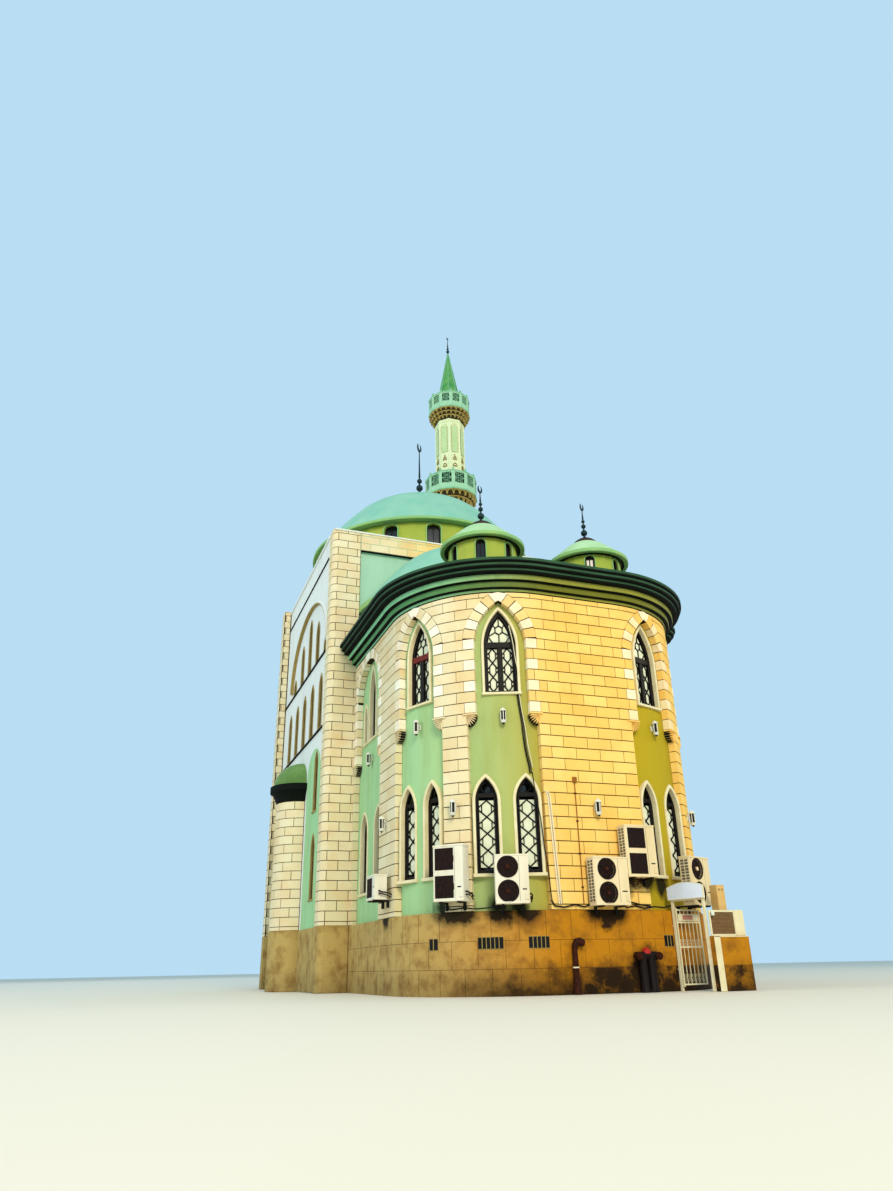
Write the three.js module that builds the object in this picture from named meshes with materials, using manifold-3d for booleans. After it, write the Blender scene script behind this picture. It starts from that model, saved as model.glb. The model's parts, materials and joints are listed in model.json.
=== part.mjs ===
// A small city mosque: a round-cornered prayer hall in stone and stucco, a taller block behind it with a
// drum and dome, a side apse, a minaret, wall-hung condensers and a side gate.
// Millimetres, +Z up. x runs across the front from the hall's axis, y runs back from the hall's stone
// face and z rises from the pavement. The last lines centre the whole on its footprint.
import * as THREE from "three";
import { mergeVertices } from "three/addons/utils/BufferGeometryUtils.js";
import Module from "manifold-3d";

const wasm = await Module();
wasm.setup();

// Joint left between two pieces that touch
const gap = 0.3;

// Front hall
const hall = {
  halfWidth: 4480,
  cornerRadius: 3280,
  length: 7760,
  cornerFacets: 9,
  plinthTop: 1870,
  plinthProud: 40,
  wallTop: 10250,
  facingThick: 180,
  wallThick: 270,
  roofThick: 250,
};
const storey = { groundTop: 300, firstTop: 5500, secondTop: 10750, slab: 250 };
const cornice = { inner: -250, reach: 620, top: 11080 };
const glassThick = 24;
const sidePier = { proud: 510, from: 3200, to: 4100, cornerRadius: 230 };

// Stone niches and their windows, by distance along the hall's wall from the block
const niche = { corbelFoot: 6450, corbelTop: 6800, spring: 8750, apex: 10000 };
const lowWindow = { sill: 2740, spring: 4500, apex: 5120 };
const highWindow = { sill: 7380, spring: 8650, apex: 9680 };
const sideLight = { sill: 7380, spring: 8150, apex: 8640, halfWidth: 200, spread: 800 };
const bays = [
  { at: 1680, lowHalf: 1550, highHalf: 1300, lowSpread: 800, lowHalfWidth: 390, highHalfWidth: 360, threeLight: true },
  { at: 5780, lowHalf: 970, highHalf: 720, lowSpread: 480, lowHalfWidth: 285, highHalfWidth: 440 },
  { at: 8450, lowHalf: 960, highHalf: 725, lowSpread: 520, lowHalfWidth: 295, highHalfWidth: 450 },
];

// Main block behind the hall
const block = {
  halfWidth: 5450,
  front: 7760,
  wingStart: 16360,
  wingHalfWidth: 4620,
  back: 19100,
  wall: 350,
  top: 15660,
  roofTop: 15050,
  panelDepth: 100,
  panelFoot: 10600,
  panelTop: 14850,
  panelHalfWidth: 4430,
};
const pilaster = { sideDepth: 630, cornerRadius: 200, rearProud: 300, rearDepth: 600 };
const facade = {
  centre: 11910,
  pitch: 1460,
  halfWidth: 270,
  archHalf: 3500,
  archFoot: 11100,
  archSpring: 11470,
  archApex: 14000,
  archDepth: 110,
  topApexes: [11900, 12930, 13540, 12930, 11900],
  rowSill: 8350,
  rowApex: 10350,
  sideOffset: 2740,
  lowSills: [2730, 5560],
  lowApexes: [4790, 7610],
};
// Infill panels with the low windows beside the front piers, set in notches of the side walls
const infill = { back: 9900, foot: 2200, top: 8100 };
const entrance = { centre: 11910, halfWidth: 900, top: 2900, frame: 90, leafThick: 60 };

// Domes, each on its own drum
const mainDome = {
  x: 0, y: 14070, drumRadius: 4600, drumWall: 220, rimRadius: 4950, rimFoot: 17620, rimTop: 17740,
  apex: 20880, shell: 150, windows: 16, windowHalf: 290, windowSill: 16250, windowSpring: 17350, windowApex: 17580,
  sides: 32, finialTop: 24630, finialWidth: 125,
};
const smallDome = {
  x: 1870, y: 2310, drumRadius: 1070, drumWall: 130, rimRadius: 1330, rimFoot: 12560, rimTop: 12680,
  shoulder: 13300, capFoot: 13420, capRise: 300, capRadius: 290, shell: 90, windows: 7, windowHalf: 150,
  windowSill: 11750, windowSpring: 12390, windowApex: 12530, sides: 21, finialTop: 15050, finialWidth: 95,
};
const semiDome = {
  drumRadius: 3950, drumWall: 200, rimRadius: 4450, rimFoot: 12350, rimTop: 12560, apex: 15370, shell: 140,
  depthShare: 0.82, sides: 32,
};
// Dome outline from rim to apex, as [share of the rim's radius, share of the rise]
const domeCurve = [
  [1, 0], [0.95, 0.06], [0.893, 0.194], [0.824, 0.322], [0.727, 0.51], [0.586, 0.735], [0.414, 0.89], [0.222, 0.975], [0, 1],
];

// Round apse on the left side
const apse = { y: 11810, radius: 850, wall: 200, wallTop: 6200, corniceTop: 6800, corniceRadius: 1120, domeRise: 900, nicheHalf: 500, nicheTop: 4300 };

// Minaret behind the block
const minaret = {
  x: 3980, y: 20160, baseHalf: 1050, baseWall: 300, baseTop: 17400, shaftRadius: 850, bore: 540,
  lowCorbelFoot: 24400, lowDeck: 25500, lowParapetTop: 26620, lowRadius: 1500,
  highCorbelFoot: 30600, highDeck: 31330, highParapetTop: 32320, highRadius: 1240, parapetWall: 90, sides: 12,
  lanternTop: 31900, lanternRadius: 620, coneRadius: 800, coneApex: 36180, finialTop: 37420, finialWidth: 85,
};

// Side gate, set square to the front at the hall's rounded corner, and the low wall that starts at it
const gate = {
  x: 2040, y: 0, heading: -73, span: 950, postSize: 60, height: 2130, leafFoot: 130, leafTop: 1890,
  hingeInset: 75, latchGap: 20, bar: 36, leafThick: 30, leafBars: 5, openAngle: 85, pinRadius: 8, boreRadius: 9.5,
  collarRadius: 14, signFoot: 2100, signSide: 2410, signTop: 2520, signThick: 36, signOver: 60,
};
const lowWall = {
  left: 2355.6, right: 3370, front: -1100, thick: 200, top: 1220, panelTop: 1815, panelFrame: 45, panelThick: 30, board: 300,
};
const cabinet = { left: 2770, right: 3000, front: -899.7, depth: 280, top: 2420 };

// Wall brackets under the outdoor units, and lugs on the gate's post, each cut back to the wall's face
const bracket = { into: 60, thick: 45, drop: 200 };
const lug = { heights: [500, 1500], half: 15, reach: 60 };

const colours = {
  stone: 0xe6cf93, stucco: 0xb4bb62, plinth: 0xb98a45, cornice: 0x16351f, dome: 0xa9d2bd, rim: 0x9fb972,
  drum: 0xb9bd5c, white: 0xe8edf0, concrete: 0xb9b5ab, glass: 0x20262a, bronze: 0x2c3438, brown: 0x5a3a35,
  pale: 0xd6e6cb, cone: 0x62b586, casing: 0xe4dfce, steel: 0xe9e7dc, door: 0x5d3a22,
};

const group = new THREE.Group();
const parts = new THREE.Group();
group.add(parts);

function addPart(name, solid, colour, roughness = 0.8, metalness = 0) {
  const mesh = solid.getMesh();
  const geometry = new THREE.BufferGeometry();
  geometry.setAttribute("position", new THREE.Float32BufferAttribute(Array.from(mesh.vertProperties), 3));
  geometry.setIndex(Array.from(mesh.triVerts));
  geometry.computeVertexNormals();
  const material = new THREE.MeshStandardMaterial({ color: colours[colour], roughness, metalness });
  const part = new THREE.Mesh(geometry, material);
  part.name = name;
  parts.add(part);
  return part;
}

// Closed three.js geometry to a solid, with its faces turned outwards
function toSolid(source) {
  const open = source.clone();
  open.deleteAttribute("normal");
  open.deleteAttribute("uv");
  const merged = mergeVertices(open, 0.001);
  const corners = merged.index.array;
  const at = merged.attributes.position;
  const triangles = [];
  const [a, b, c] = [new THREE.Vector3(), new THREE.Vector3(), new THREE.Vector3()];
  let volume = 0;
  for (let i = 0; i < corners.length; i += 3) {
    const [p, q, r] = [corners[i], corners[i + 1], corners[i + 2]];
    if (p === q || q === r || r === p) continue;
    triangles.push([p, q, r]);
    a.fromBufferAttribute(at, p);
    b.fromBufferAttribute(at, q);
    c.fromBufferAttribute(at, r);
    volume += a.dot(b.cross(c));
  }
  const facing = volume < 0 ? triangles.map(([p, q, r]) => [p, r, q]) : triangles;
  return new wasm.Manifold(new wasm.Mesh({
    numProp: 3,
    vertProperties: new Float32Array(at.array),
    triVerts: new Uint32Array(facing.flat()),
  }));
}

function joinAll(solids) {
  return solids.reduce((whole, next) => whole.add(next));
}

function cutAll(solid, cutters) {
  return cutters.reduce((rest, cutter) => rest.subtract(cutter), solid);
}

// Plan outline raised from one height to another
function raise(points, foot, top) {
  const shape = new THREE.Shape(points.map(([x, y]) => new THREE.Vector2(x, y)));
  const body = new THREE.ExtrudeGeometry(shape, { depth: top - foot, bevelEnabled: false });
  body.translate(0, 0, foot);
  return toSolid(body);
}

function box(x0, x1, y0, y1, z0, z1) {
  const body = new THREE.BoxGeometry(x1 - x0, y1 - y0, z1 - z0);
  body.translate((x0 + x1) / 2, (y0 + y1) / 2, (z0 + z1) / 2);
  return toSolid(body);
}

// Profile of [radius, height] pairs turned about a vertical axis
function turn(profile, x, y, sides, phase = 0) {
  const body = new THREE.LatheGeometry(profile.map(([r, h]) => new THREE.Vector2(r, h)), sides);
  body.rotateX(Math.PI / 2);
  body.rotateZ(phase);
  body.translate(x, y, 0);
  return toSolid(body);
}

// Upright outline [along, height] pushed through a wall: place is { x, y, nx, ny } with the outward normal
function throughWall(outline, place, outer, inner) {
  const shape = new THREE.Shape(outline.map(([u, z]) => new THREE.Vector2(u, z)));
  const body = new THREE.ExtrudeGeometry(shape, { depth: outer - inner, bevelEnabled: false });
  body.translate(0, 0, inner);
  const along = new THREE.Vector3(-place.ny, place.nx, 0);
  const up = new THREE.Vector3(0, 0, 1);
  const out = new THREE.Vector3(place.nx, place.ny, 0);
  const basis = new THREE.Matrix4().makeBasis(along, up, out);
  basis.setPosition(place.x, place.y, 0);
  body.applyMatrix4(basis);
  return toSolid(body);
}

// Pointed arch on straight jambs, centred on the outline's own axis
function pointedArch(halfWidth, sill, spring, apex, centre = 0, steps = 5) {
  const rise = apex - spring;
  const radius = (halfWidth ** 2 + rise ** 2) / (2 * halfWidth);
  const sweep = Math.asin(Math.min(1, rise / radius));
  const right = [];
  for (let i = 0; i < steps; i += 1) {
    const angle = (sweep * i) / steps;
    right.push([halfWidth - radius + radius * Math.cos(angle), spring + radius * Math.sin(angle)]);
  }
  const left = right.map(([u, z]) => [-u, z]).reverse();
  const points = [[-halfWidth, sill], [halfWidth, sill], ...right, [0, apex], ...left];
  return points.map(([u, z]) => [centre + u, z]);
}

// Half-ellipse arch on straight jambs
function roundArch(halfWidth, sill, spring, apex, steps = 16) {
  const points = [[-halfWidth, sill], [halfWidth, sill]];
  for (let i = 0; i <= steps; i += 1) {
    const angle = (Math.PI * i) / steps;
    points.push([halfWidth * Math.cos(angle), spring + (apex - spring) * Math.sin(angle)]);
  }
  return points;
}

// The hall's wall line
const sideLength = hall.length - hall.cornerRadius;
const cornerLength = (Math.PI / 2) * hall.cornerRadius;
const frontLength = 2 * (hall.halfWidth - hall.cornerRadius);
const wallLength = 2 * (sideLength + cornerLength) + frontLength;
const cornerX = hall.halfWidth - hall.cornerRadius;
const layerSplits = [sideLength + cornerLength / 2, wallLength - sideLength - cornerLength / 2];
const wallLengths = [
  ["left", gap, layerSplits[0] - gap / 2],
  ["front", layerSplits[0] + gap / 2, layerSplits[1] - gap / 2],
  ["right", layerSplits[1] + gap / 2, wallLength - gap],
];

function wallPlace(distance) {
  const mirrored = distance > wallLength / 2;
  const run = mirrored ? wallLength - distance : distance;
  const side = mirrored ? 1 : -1;
  if (run < sideLength) {
    return { x: side * hall.halfWidth, y: hall.length - run, nx: side, ny: 0 };
  }
  const angle = Math.min((run - sideLength) / hall.cornerRadius, Math.PI / 2);
  const [nx, ny] = [side * Math.cos(angle), -Math.sin(angle)];
  const straight = Math.max(0, run - sideLength - cornerLength);
  return {
    x: side * (cornerX - straight) + hall.cornerRadius * nx,
    y: hall.cornerRadius + hall.cornerRadius * ny,
    nx,
    ny,
  };
}

function wallStops(from, to) {
  const stops = [from];
  for (let i = 0; i <= hall.cornerFacets; i += 1) stops.push(sideLength + (cornerLength * i) / hall.cornerFacets);
  const mirror = stops.slice(1).map((stop) => wallLength - stop).reverse();
  return [...stops, ...mirror, to].filter((stop, i, all) => i === 0 || i === all.length - 1 || (stop > from + 1 && stop < to - 1));
}

function wallLine(from, to, offset) {
  return wallStops(from, to).map((stop) => {
    const place = wallPlace(stop);
    return [place.x + place.nx * offset, place.y + place.ny * offset];
  });
}

// A layer of the hall's wall between two distances and two offsets from the stone face
function wallBand(from, to, outer, inner, foot, top) {
  return raise([...wallLine(from, to, outer), ...wallLine(from, to, inner).reverse()], foot, top);
}

// Everything from just outside the hall's faces inwards, for cutting what bears on the wall
function wallSeat() {
  const depth = -200;
  return wallLengths.flatMap(([, from, to]) => [
    wallBand(from - gap, to + gap, hall.plinthProud + gap, depth, -10, hall.plinthTop + gap),
    wallBand(from - gap, to + gap, gap, depth, hall.plinthTop, hall.wallTop),
  ]);
}

function hallPlan(offset) {
  return wallLine(gap, wallLength - gap, offset);
}

// Plan of something proud of the hall's right side, with its two outer corners rounded
function sidePlan(inner, outer, from, to, radius) {
  const points = [[inner, from]];
  for (const [angle, y] of [[-90, from + radius], [-60, from + radius], [-30, from + radius], [0, from + radius],
    [0, to - radius], [30, to - radius], [60, to - radius], [90, to - radius]]) {
    const turned = THREE.MathUtils.degToRad(angle);
    points.push([outer - radius + radius * Math.cos(turned), y + radius * Math.sin(turned)]);
  }
  points.push([inner, to]);
  return points;
}

const allBays = [...bays, ...bays.map((bay) => ({ ...bay, at: wallLength - bay.at })).reverse()];
const innerFace = -hall.facingThick - hall.wallThick;

function nicheOutline(bay) {
  const { corbelFoot, corbelTop, spring, apex } = niche;
  const flare = bay.lowHalf - bay.highHalf;
  const drop = corbelTop - corbelFoot;
  const curve = [1, 0.86, 0.5, 0.14, 0].map((share, i) => [bay.highHalf + flare * share, corbelFoot + (drop * i) / 4]);
  const foot = hall.plinthTop - 10;
  const arch = pointedArch(bay.highHalf, foot, spring, apex, 0, 6).slice(2);
  const mirror = curve.map(([u, z]) => [-u, z]).reverse();
  return [[-bay.lowHalf, foot], [bay.lowHalf, foot], ...curve, ...arch, ...mirror];
}

function windowOutlines(bay) {
  const outlines = [-1, 1].map((side) => pointedArch(
    bay.lowHalfWidth, lowWindow.sill, lowWindow.spring, lowWindow.apex, side * bay.lowSpread));
  outlines.push(pointedArch(bay.highHalfWidth, highWindow.sill, highWindow.spring, highWindow.apex));
  if (bay.threeLight) {
    for (const side of [-1, 1]) {
      const { sill, spring, apex, halfWidth, spread } = sideLight;
      outlines.push(pointedArch(halfWidth, sill, spring, apex, side * spread));
    }
  }
  return outlines;
}

// Plinth, stucco wall and stone facing, each in three lengths
function buildHallWalls() {
  for (const [name, from, to] of wallLengths) {
    const near = allBays.filter((bay) => bay.at > from && bay.at < to);
    addPart(`hall_plinth_${name}`, wallBand(from, to, hall.plinthProud, innerFace, 0, hall.plinthTop), "plinth");
    const holes = near.flatMap((bay) => windowOutlines(bay).map((outline) => throughWall(
      outline, wallPlace(bay.at), 300, innerFace - 400)));
    const wall = wallBand(from, to, -hall.facingThick - gap, innerFace, hall.plinthTop + gap, hall.wallTop);
    addPart(`hall_wall_${name}`, cutAll(wall, holes), "stucco");
    const facing = wallBand(from, to, 0, -hall.facingThick, hall.plinthTop + gap, hall.wallTop);
    const niches = near.map((bay) => throughWall(nicheOutline(bay), wallPlace(bay.at), 400, -900));
    addPart(`stone_facing_${name}`, cutAll(facing, niches), "stone");
  }
}

// The cornice steps out in bands and returns round the side pier
function buildCornice() {
  const foot = hall.wallTop + gap;
  const steps = [[40, foot, 10340], [170, 10335, 10530], [300, 10525, 10690], [480, 10685, 10865], [cornice.reach, 10860, cornice.top]];
  const inner = hall.halfWidth + cornice.inner;
  const outer = hall.halfWidth + sidePier.proud;
  const bands = steps.flatMap(([reach, low, high]) => [
    wallBand(gap, wallLength - gap, reach, cornice.inner, low, high),
    raise(sidePlan(inner, outer + reach, sidePier.from - reach, sidePier.to + reach, sidePier.cornerRadius + reach), low, high),
  ]);
  addPart("hall_cornice", joinAll(bands), "cornice");
}

// Stone pier on the right side, standing proud of the plinth and the wall
function buildSidePier() {
  const inner = hall.halfWidth + gap;
  const plan = sidePlan(inner, hall.halfWidth + sidePier.proud, sidePier.from, sidePier.to, sidePier.cornerRadius);
  const clear = box(inner - 10, inner + hall.plinthProud, sidePier.from - 10, sidePier.to + 10, -10, hall.plinthTop + gap);
  addPart("side_pier", raise(plan, 0, hall.wallTop).subtract(clear), "stone");
}

function ellipseRing(radius, steps = 32) {
  const points = [];
  for (let i = 0; i < steps; i += 1) {
    const angle = (2 * Math.PI * i) / steps;
    points.push([radius * Math.cos(angle), block.front + radius * semiDome.depthShare * Math.sin(angle)]);
  }
  return points;
}

function buildHallFloors() {
  const inside = hallPlan(innerFace - gap);
  addPart("hall_floor", raise(inside, 0, storey.groundTop), "concrete");
  addPart("hall_upper_floor", raise(inside, storey.firstTop - storey.slab, storey.firstTop), "concrete");
  const foot = hall.wallTop + gap;
  const roof = raise(hallPlan(cornice.inner - gap), foot, foot + hall.roofThick);
  const wells = [-1, 1].map((side) => turn(
    [[0, foot - 10], [smallDome.drumRadius - smallDome.drumWall, foot - 10],
      [smallDome.drumRadius - smallDome.drumWall, foot + 300], [0, foot + 300]],
    side * smallDome.x, smallDome.y, 24));
  wells.push(raise(ellipseRing(semiDome.drumRadius - semiDome.drumWall), foot - 10, foot + 300));
  addPart("hall_roof", cutAll(roof, wells), "concrete");
  const outer = innerFace - gap;
  const inner = outer - glassThick;
  addPart("hall_lower_glazing", wallBand(gap, wallLength - gap, outer, inner, 2640, 5240), "glass", 0.1);
  addPart("hall_upper_glazing", wallBand(gap, wallLength - gap, outer, inner, 7280, 9800), "glass", 0.1);
}

function arcProfile(fromRadius, fromHeight, apex, steps) {
  const rise = apex - fromHeight;
  const radius = (fromRadius ** 2 + rise ** 2) / (2 * rise);
  const start = Math.asin(fromRadius / radius);
  const points = [];
  for (let i = 0; i <= steps; i += 1) {
    const angle = start * (1 - i / steps);
    points.push([i === steps ? 0 : radius * Math.sin(angle), apex - radius + radius * Math.cos(angle)]);
  }
  return points;
}

// Dome shell with a flat eave: starts at its apex inside and ends at its apex outside
function domeProfile(dome, drumInner) {
  const rise = dome.apex - dome.rimTop;
  const outside = domeCurve.map(([across, up]) => [dome.rimRadius * across, dome.rimTop + rise * up]);
  const inside = arcProfile(drumInner, dome.rimFoot + 40, dome.apex - 2 * dome.shell, 4).reverse();
  return [...inside, [drumInner, dome.rimFoot], [dome.rimRadius, dome.rimFoot], ...outside];
}

function drumWithWindows(dome, foot, top) {
  const inner = dome.drumRadius - dome.drumWall;
  const profile = [[inner, foot], [dome.drumRadius, foot], [dome.drumRadius, top], [inner, top], [inner, foot]];
  const drum = turn(profile, dome.x, dome.y, dome.sides);
  const holes = [];
  for (let i = 0; i < dome.windows; i += 1) {
    const angle = (2 * Math.PI * (i + 0.5)) / dome.windows - Math.PI / 2;
    const place = { x: dome.x, y: dome.y, nx: Math.cos(angle), ny: Math.sin(angle) };
    const outline = pointedArch(dome.windowHalf, dome.windowSill, dome.windowSpring, dome.windowApex, 0, 2);
    holes.push(throughWall(outline, place, dome.drumRadius + 200, inner - 200));
  }
  return cutAll(drum, holes);
}

// Balls, spindle and crescent on a rod
function finial(x, y, foot, top, width) {
  const height = top - foot;
  const at = (share) => foot + height * share;
  const crescentFoot = at(0.84);
  const profile = [[0, foot], [width * 0.5, foot], [width * 0.45, at(0.03)]];
  for (const [centre, radius] of [[0.1, 1], [0.2, 0.72], [0.28, 0.6]]) {
    const ball = radius * width;
    for (const [share, rise] of [[0.35, -0.94], [0.9, -0.45], [0.9, 0.45], [0.35, 0.94]]) {
      profile.push([ball * share, at(centre) + ball * rise]);
    }
  }
  profile.push([width * 0.5, at(0.33)], [width * 0.14, at(0.7)], [width * 0.14, crescentFoot + width * 0.3], [0, crescentFoot + width * 0.3]);
  const rod = turn(profile, x, y, 6);
  const ring = top - crescentFoot;
  const points = [];
  const turns = 10;
  for (let i = 0; i <= turns; i += 1) {
    const angle = Math.PI / 2 + 0.45 + ((2 * Math.PI - 0.9) * i) / turns;
    points.push([0.36 * ring * Math.cos(angle), crescentFoot + ring * (0.5 + 0.5 * Math.sin(angle))]);
  }
  for (let i = turns; i >= 0; i -= 1) {
    const angle = Math.PI / 2 + 0.5 + ((2 * Math.PI - 1) * i) / turns;
    points.push([0.27 * ring * Math.cos(angle), crescentFoot + ring * (0.56 + 0.4 * Math.sin(angle))]);
  }
  const crescent = throughWall(points, { x, y, nx: 0, ny: -1 }, width * 0.12, -width * 0.12);
  return rod.add(crescent);
}

function buildSmallDomes() {
  const drumFoot = hall.wallTop + hall.roofThick + 2 * gap;
  for (const [name, side] of [["left", -1], ["right", 1]]) {
    const dome = { ...smallDome, x: side * smallDome.x };
    const { x, y, rimRadius, rimFoot, rimTop, capFoot, capRadius, capRise, shell } = dome;
    addPart(`small_drum_${name}`, drumWithWindows(dome, drumFoot, rimFoot - gap), "drum");
    const inner = dome.drumRadius - dome.drumWall;
    const profile = [[0, capFoot - shell], [capRadius, capFoot - 2 * shell], [inner * 0.8, rimTop + 200], [inner, rimFoot + 60],
      [inner, rimFoot], [rimRadius, rimFoot], [rimRadius, rimTop], [rimRadius * 0.86, rimTop + 150],
      [rimRadius * 0.68, rimTop + 370], [rimRadius * 0.46, dome.shoulder], [capRadius + 70, capFoot],
      [capRadius + 20, capFoot + capRise * 0.2], [capRadius * 0.75, capFoot + capRise * 0.57],
      [capRadius * 0.35, capFoot + capRise * 0.9], [0, capFoot + capRise]];
    const spike = finial(x, y, capFoot + capRise * 0.8, dome.finialTop, dome.finialWidth);
    addPart(`small_dome_${name}`, turn(profile, x, y, dome.sides).add(spike), "dome", 0.5);
  }
}

// Half dome on a half drum, flattened from front to back and cut off at the block
function buildSemiDome() {
  const foot = hall.wallTop + hall.roofThick + 2 * gap;
  const keep = box(-6000, 6000, block.front - 6000, block.front - gap, 0, 20000);
  const inner = semiDome.drumRadius - semiDome.drumWall;
  const [head, ...rest] = domeProfile(semiDome, inner).slice(4);
  const vault = domeProfile(semiDome, inner).slice(0, 4);
  const profile = [...vault, head, [inner, foot], [semiDome.drumRadius, foot], [semiDome.drumRadius, semiDome.rimFoot], ...rest.slice(1)];
  const round = turn(profile, 0, 0, semiDome.sides).scale([1, semiDome.depthShare, 1]).translate([0, block.front, 0]);
  addPart("semi_dome", round.intersect(keep), "dome", 0.5);
}

function buildMainDome() {
  const { x, y } = mainDome;
  addPart("main_drum", drumWithWindows(mainDome, block.roofTop + gap, mainDome.rimFoot - gap), "drum");
  const inner = mainDome.drumRadius - mainDome.drumWall;
  addPart("main_dome", turn(domeProfile(mainDome, inner), x, y, mainDome.sides), "dome", 0.5);
  addPart("main_finial", finial(x, y, mainDome.apex + gap, mainDome.finialTop, mainDome.finialWidth), "bronze", 0.4, 0.7);
}

const leftFacade = (y) => ({ x: -block.halfWidth, y, nx: -1, ny: 0 });
const rightFacade = (y) => ({ x: block.halfWidth, y, nx: 1, ny: 0 });

function facadeCutters(place, withApse) {
  const through = (outline, y) => throughWall(outline, place(y), 200, -block.wall - 200);
  const narrow = (sill, apex, y) => through(pointedArch(facade.halfWidth, sill, apex - 480, apex, 0, 3), y);
  const cutters = [throughWall(roundArch(facade.archHalf, facade.archFoot, facade.archSpring, facade.archApex, 12), place(facade.centre), 200, -facade.archDepth)];
  facade.topApexes.forEach((apex, i) => {
    const y = facade.centre + (i - 2) * facade.pitch;
    cutters.push(narrow(facade.archFoot + 40, apex, y));
    cutters.push(narrow(facade.rowSill, facade.rowApex, y));
  });
  for (const side of [-1, 1]) {
    facade.lowSills.forEach((sill, i) => cutters.push(narrow(sill, facade.lowApexes[i], facade.centre + side * facade.sideOffset)));
  }
  if (withApse) cutters.push(through(roundArch(apse.nicheHalf, storey.groundTop, apse.nicheTop - 500, apse.nicheTop, 8), apse.y));
  else cutters.push(through([[-entrance.halfWidth, storey.groundTop], [entrance.halfWidth, storey.groundTop],
    [entrance.halfWidth, entrance.top], [-entrance.halfWidth, entrance.top]], entrance.centre));
  return cutters;
}

function buildBlock() {
  const { halfWidth, front, wingStart, wingHalfWidth, back, wall, top, roofTop } = block;
  const wallFrom = front + pilaster.sideDepth + gap;
  const pierInner = block.panelHalfWidth + gap;
  // Front wall, open to the hall on both storeys and recessed above the hall's roof
  const frontWall = box(-block.panelHalfWidth, block.panelHalfWidth, front, front + wall, 0, top);
  const frontPlace = { x: 0, y: front, nx: 0, ny: -1 };
  const frontCuts = [
    throughWall(roundArch(3000, storey.groundTop, 3700, 4700), frontPlace, 200, -wall - 200),
    throughWall(roundArch(3000, storey.firstTop, 8500, 9600), frontPlace, 200, -wall - 200),
    box(-block.panelHalfWidth - 10, block.panelHalfWidth + 10, front - 10, front + block.panelDepth, block.panelFoot, block.panelTop),
  ];
  addPart("block_front_wall", cutAll(frontWall, frontCuts), "stucco");
  // Stone piers at the front corners, rounded at the outer edge
  for (const [name, side] of [["left", -1], ["right", 1]]) {
    const r = pilaster.cornerRadius;
    const outer = halfWidth + 10;
    const plan = [[pierInner, front], [outer - r, front]];
    for (const angle of [22.5, 45, 67.5, 90]) {
      const turnAngle = THREE.MathUtils.degToRad(angle);
      plan.push([outer - r + r * Math.sin(turnAngle), front + r - r * Math.cos(turnAngle)]);
    }
    plan.push([outer, front + pilaster.sideDepth], [pierInner, front + pilaster.sideDepth]);
    addPart(`front_pier_${name}`, raise(plan.map(([x, y]) => [side * x, y]), 0, top), "stone");
    const rear = wingStart + gap;
    const rearInner = side < 0 ? wingHalfWidth + gap : halfWidth + gap;
    addPart(`rear_pier_${name}`, box(...[side * rearInner, side * (halfWidth + pilaster.rearProud)].sort((p, q) => p - q), rear, rear + pilaster.rearDepth, 0, top), "stone");
  }
  const leftPlan = [[-halfWidth, wallFrom], [-halfWidth, wingStart], [-wingHalfWidth + wall, wingStart], [-wingHalfWidth + wall, wingStart - wall], [-halfWidth + wall, wingStart - wall], [-halfWidth + wall, wallFrom]];
  const infillSpace = (side, clear) => box(...[side * (halfWidth - wall - 50), side * (halfWidth + 50)].sort((p, q) => p - q),
    wallFrom - 50, infill.back + clear, infill.foot - clear, infill.top + clear);
  const leftWall = cutAll(raise(leftPlan, 0, top), facadeCutters(leftFacade, true));
  addPart("block_left_wall", leftWall.subtract(infillSpace(-1, gap)), "white");
  addPart("block_left_panel", leftWall.intersect(infillSpace(-1, 0)), "white");
  const rightWall = cutAll(box(halfWidth - wall, halfWidth, wallFrom, back, 0, top), facadeCutters(rightFacade, false));
  addPart("block_right_wall", rightWall.subtract(infillSpace(1, gap)), "white");
  addPart("block_right_panel", rightWall.intersect(infillSpace(1, 0)), "white");
  const backPlan = [[-wingHalfWidth, wingStart + gap], [-wingHalfWidth + wall, wingStart + gap], [-wingHalfWidth + wall, back - wall],
    [halfWidth - wall - gap, back - wall], [halfWidth - wall - gap, back], [-wingHalfWidth, back]];
  addPart("block_back_wall", raise(backPlan, 0, top), "white");
  // Floors and the roof
  const inset = wall + gap;
  const plan = [
    [-halfWidth + inset, front + inset], [halfWidth - inset, front + inset], [halfWidth - inset, back - inset],
    [-wingHalfWidth + inset, back - inset], [-wingHalfWidth + inset, wingStart - inset], [-halfWidth + inset, wingStart - inset],
  ];
  const corner = (side) => box(...[side * (pierInner - 1), side * (halfWidth + 20)].sort((p, q) => p - q), front, wallFrom, -10, top + 10);
  const floorAt = (foot, height) => cutAll(raise(plan, foot, foot + height), [corner(-1), corner(1)]);
  addPart("block_floor", floorAt(0, storey.groundTop), "concrete");
  addPart("block_first_floor", floorAt(storey.firstTop - storey.slab, storey.slab), "concrete");
  addPart("block_second_floor", floorAt(storey.secondTop - storey.slab, storey.slab), "concrete");
  const well = mainDome.drumRadius - mainDome.drumWall;
  const wellCut = turn([[0, roofTop - 500], [well, roofTop - 500], [well, roofTop + 100], [0, roofTop + 100]], mainDome.x, mainDome.y, mainDome.sides);
  addPart("block_roof", floorAt(roofTop - storey.slab, storey.slab).subtract(wellCut), "concrete");
}

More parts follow.
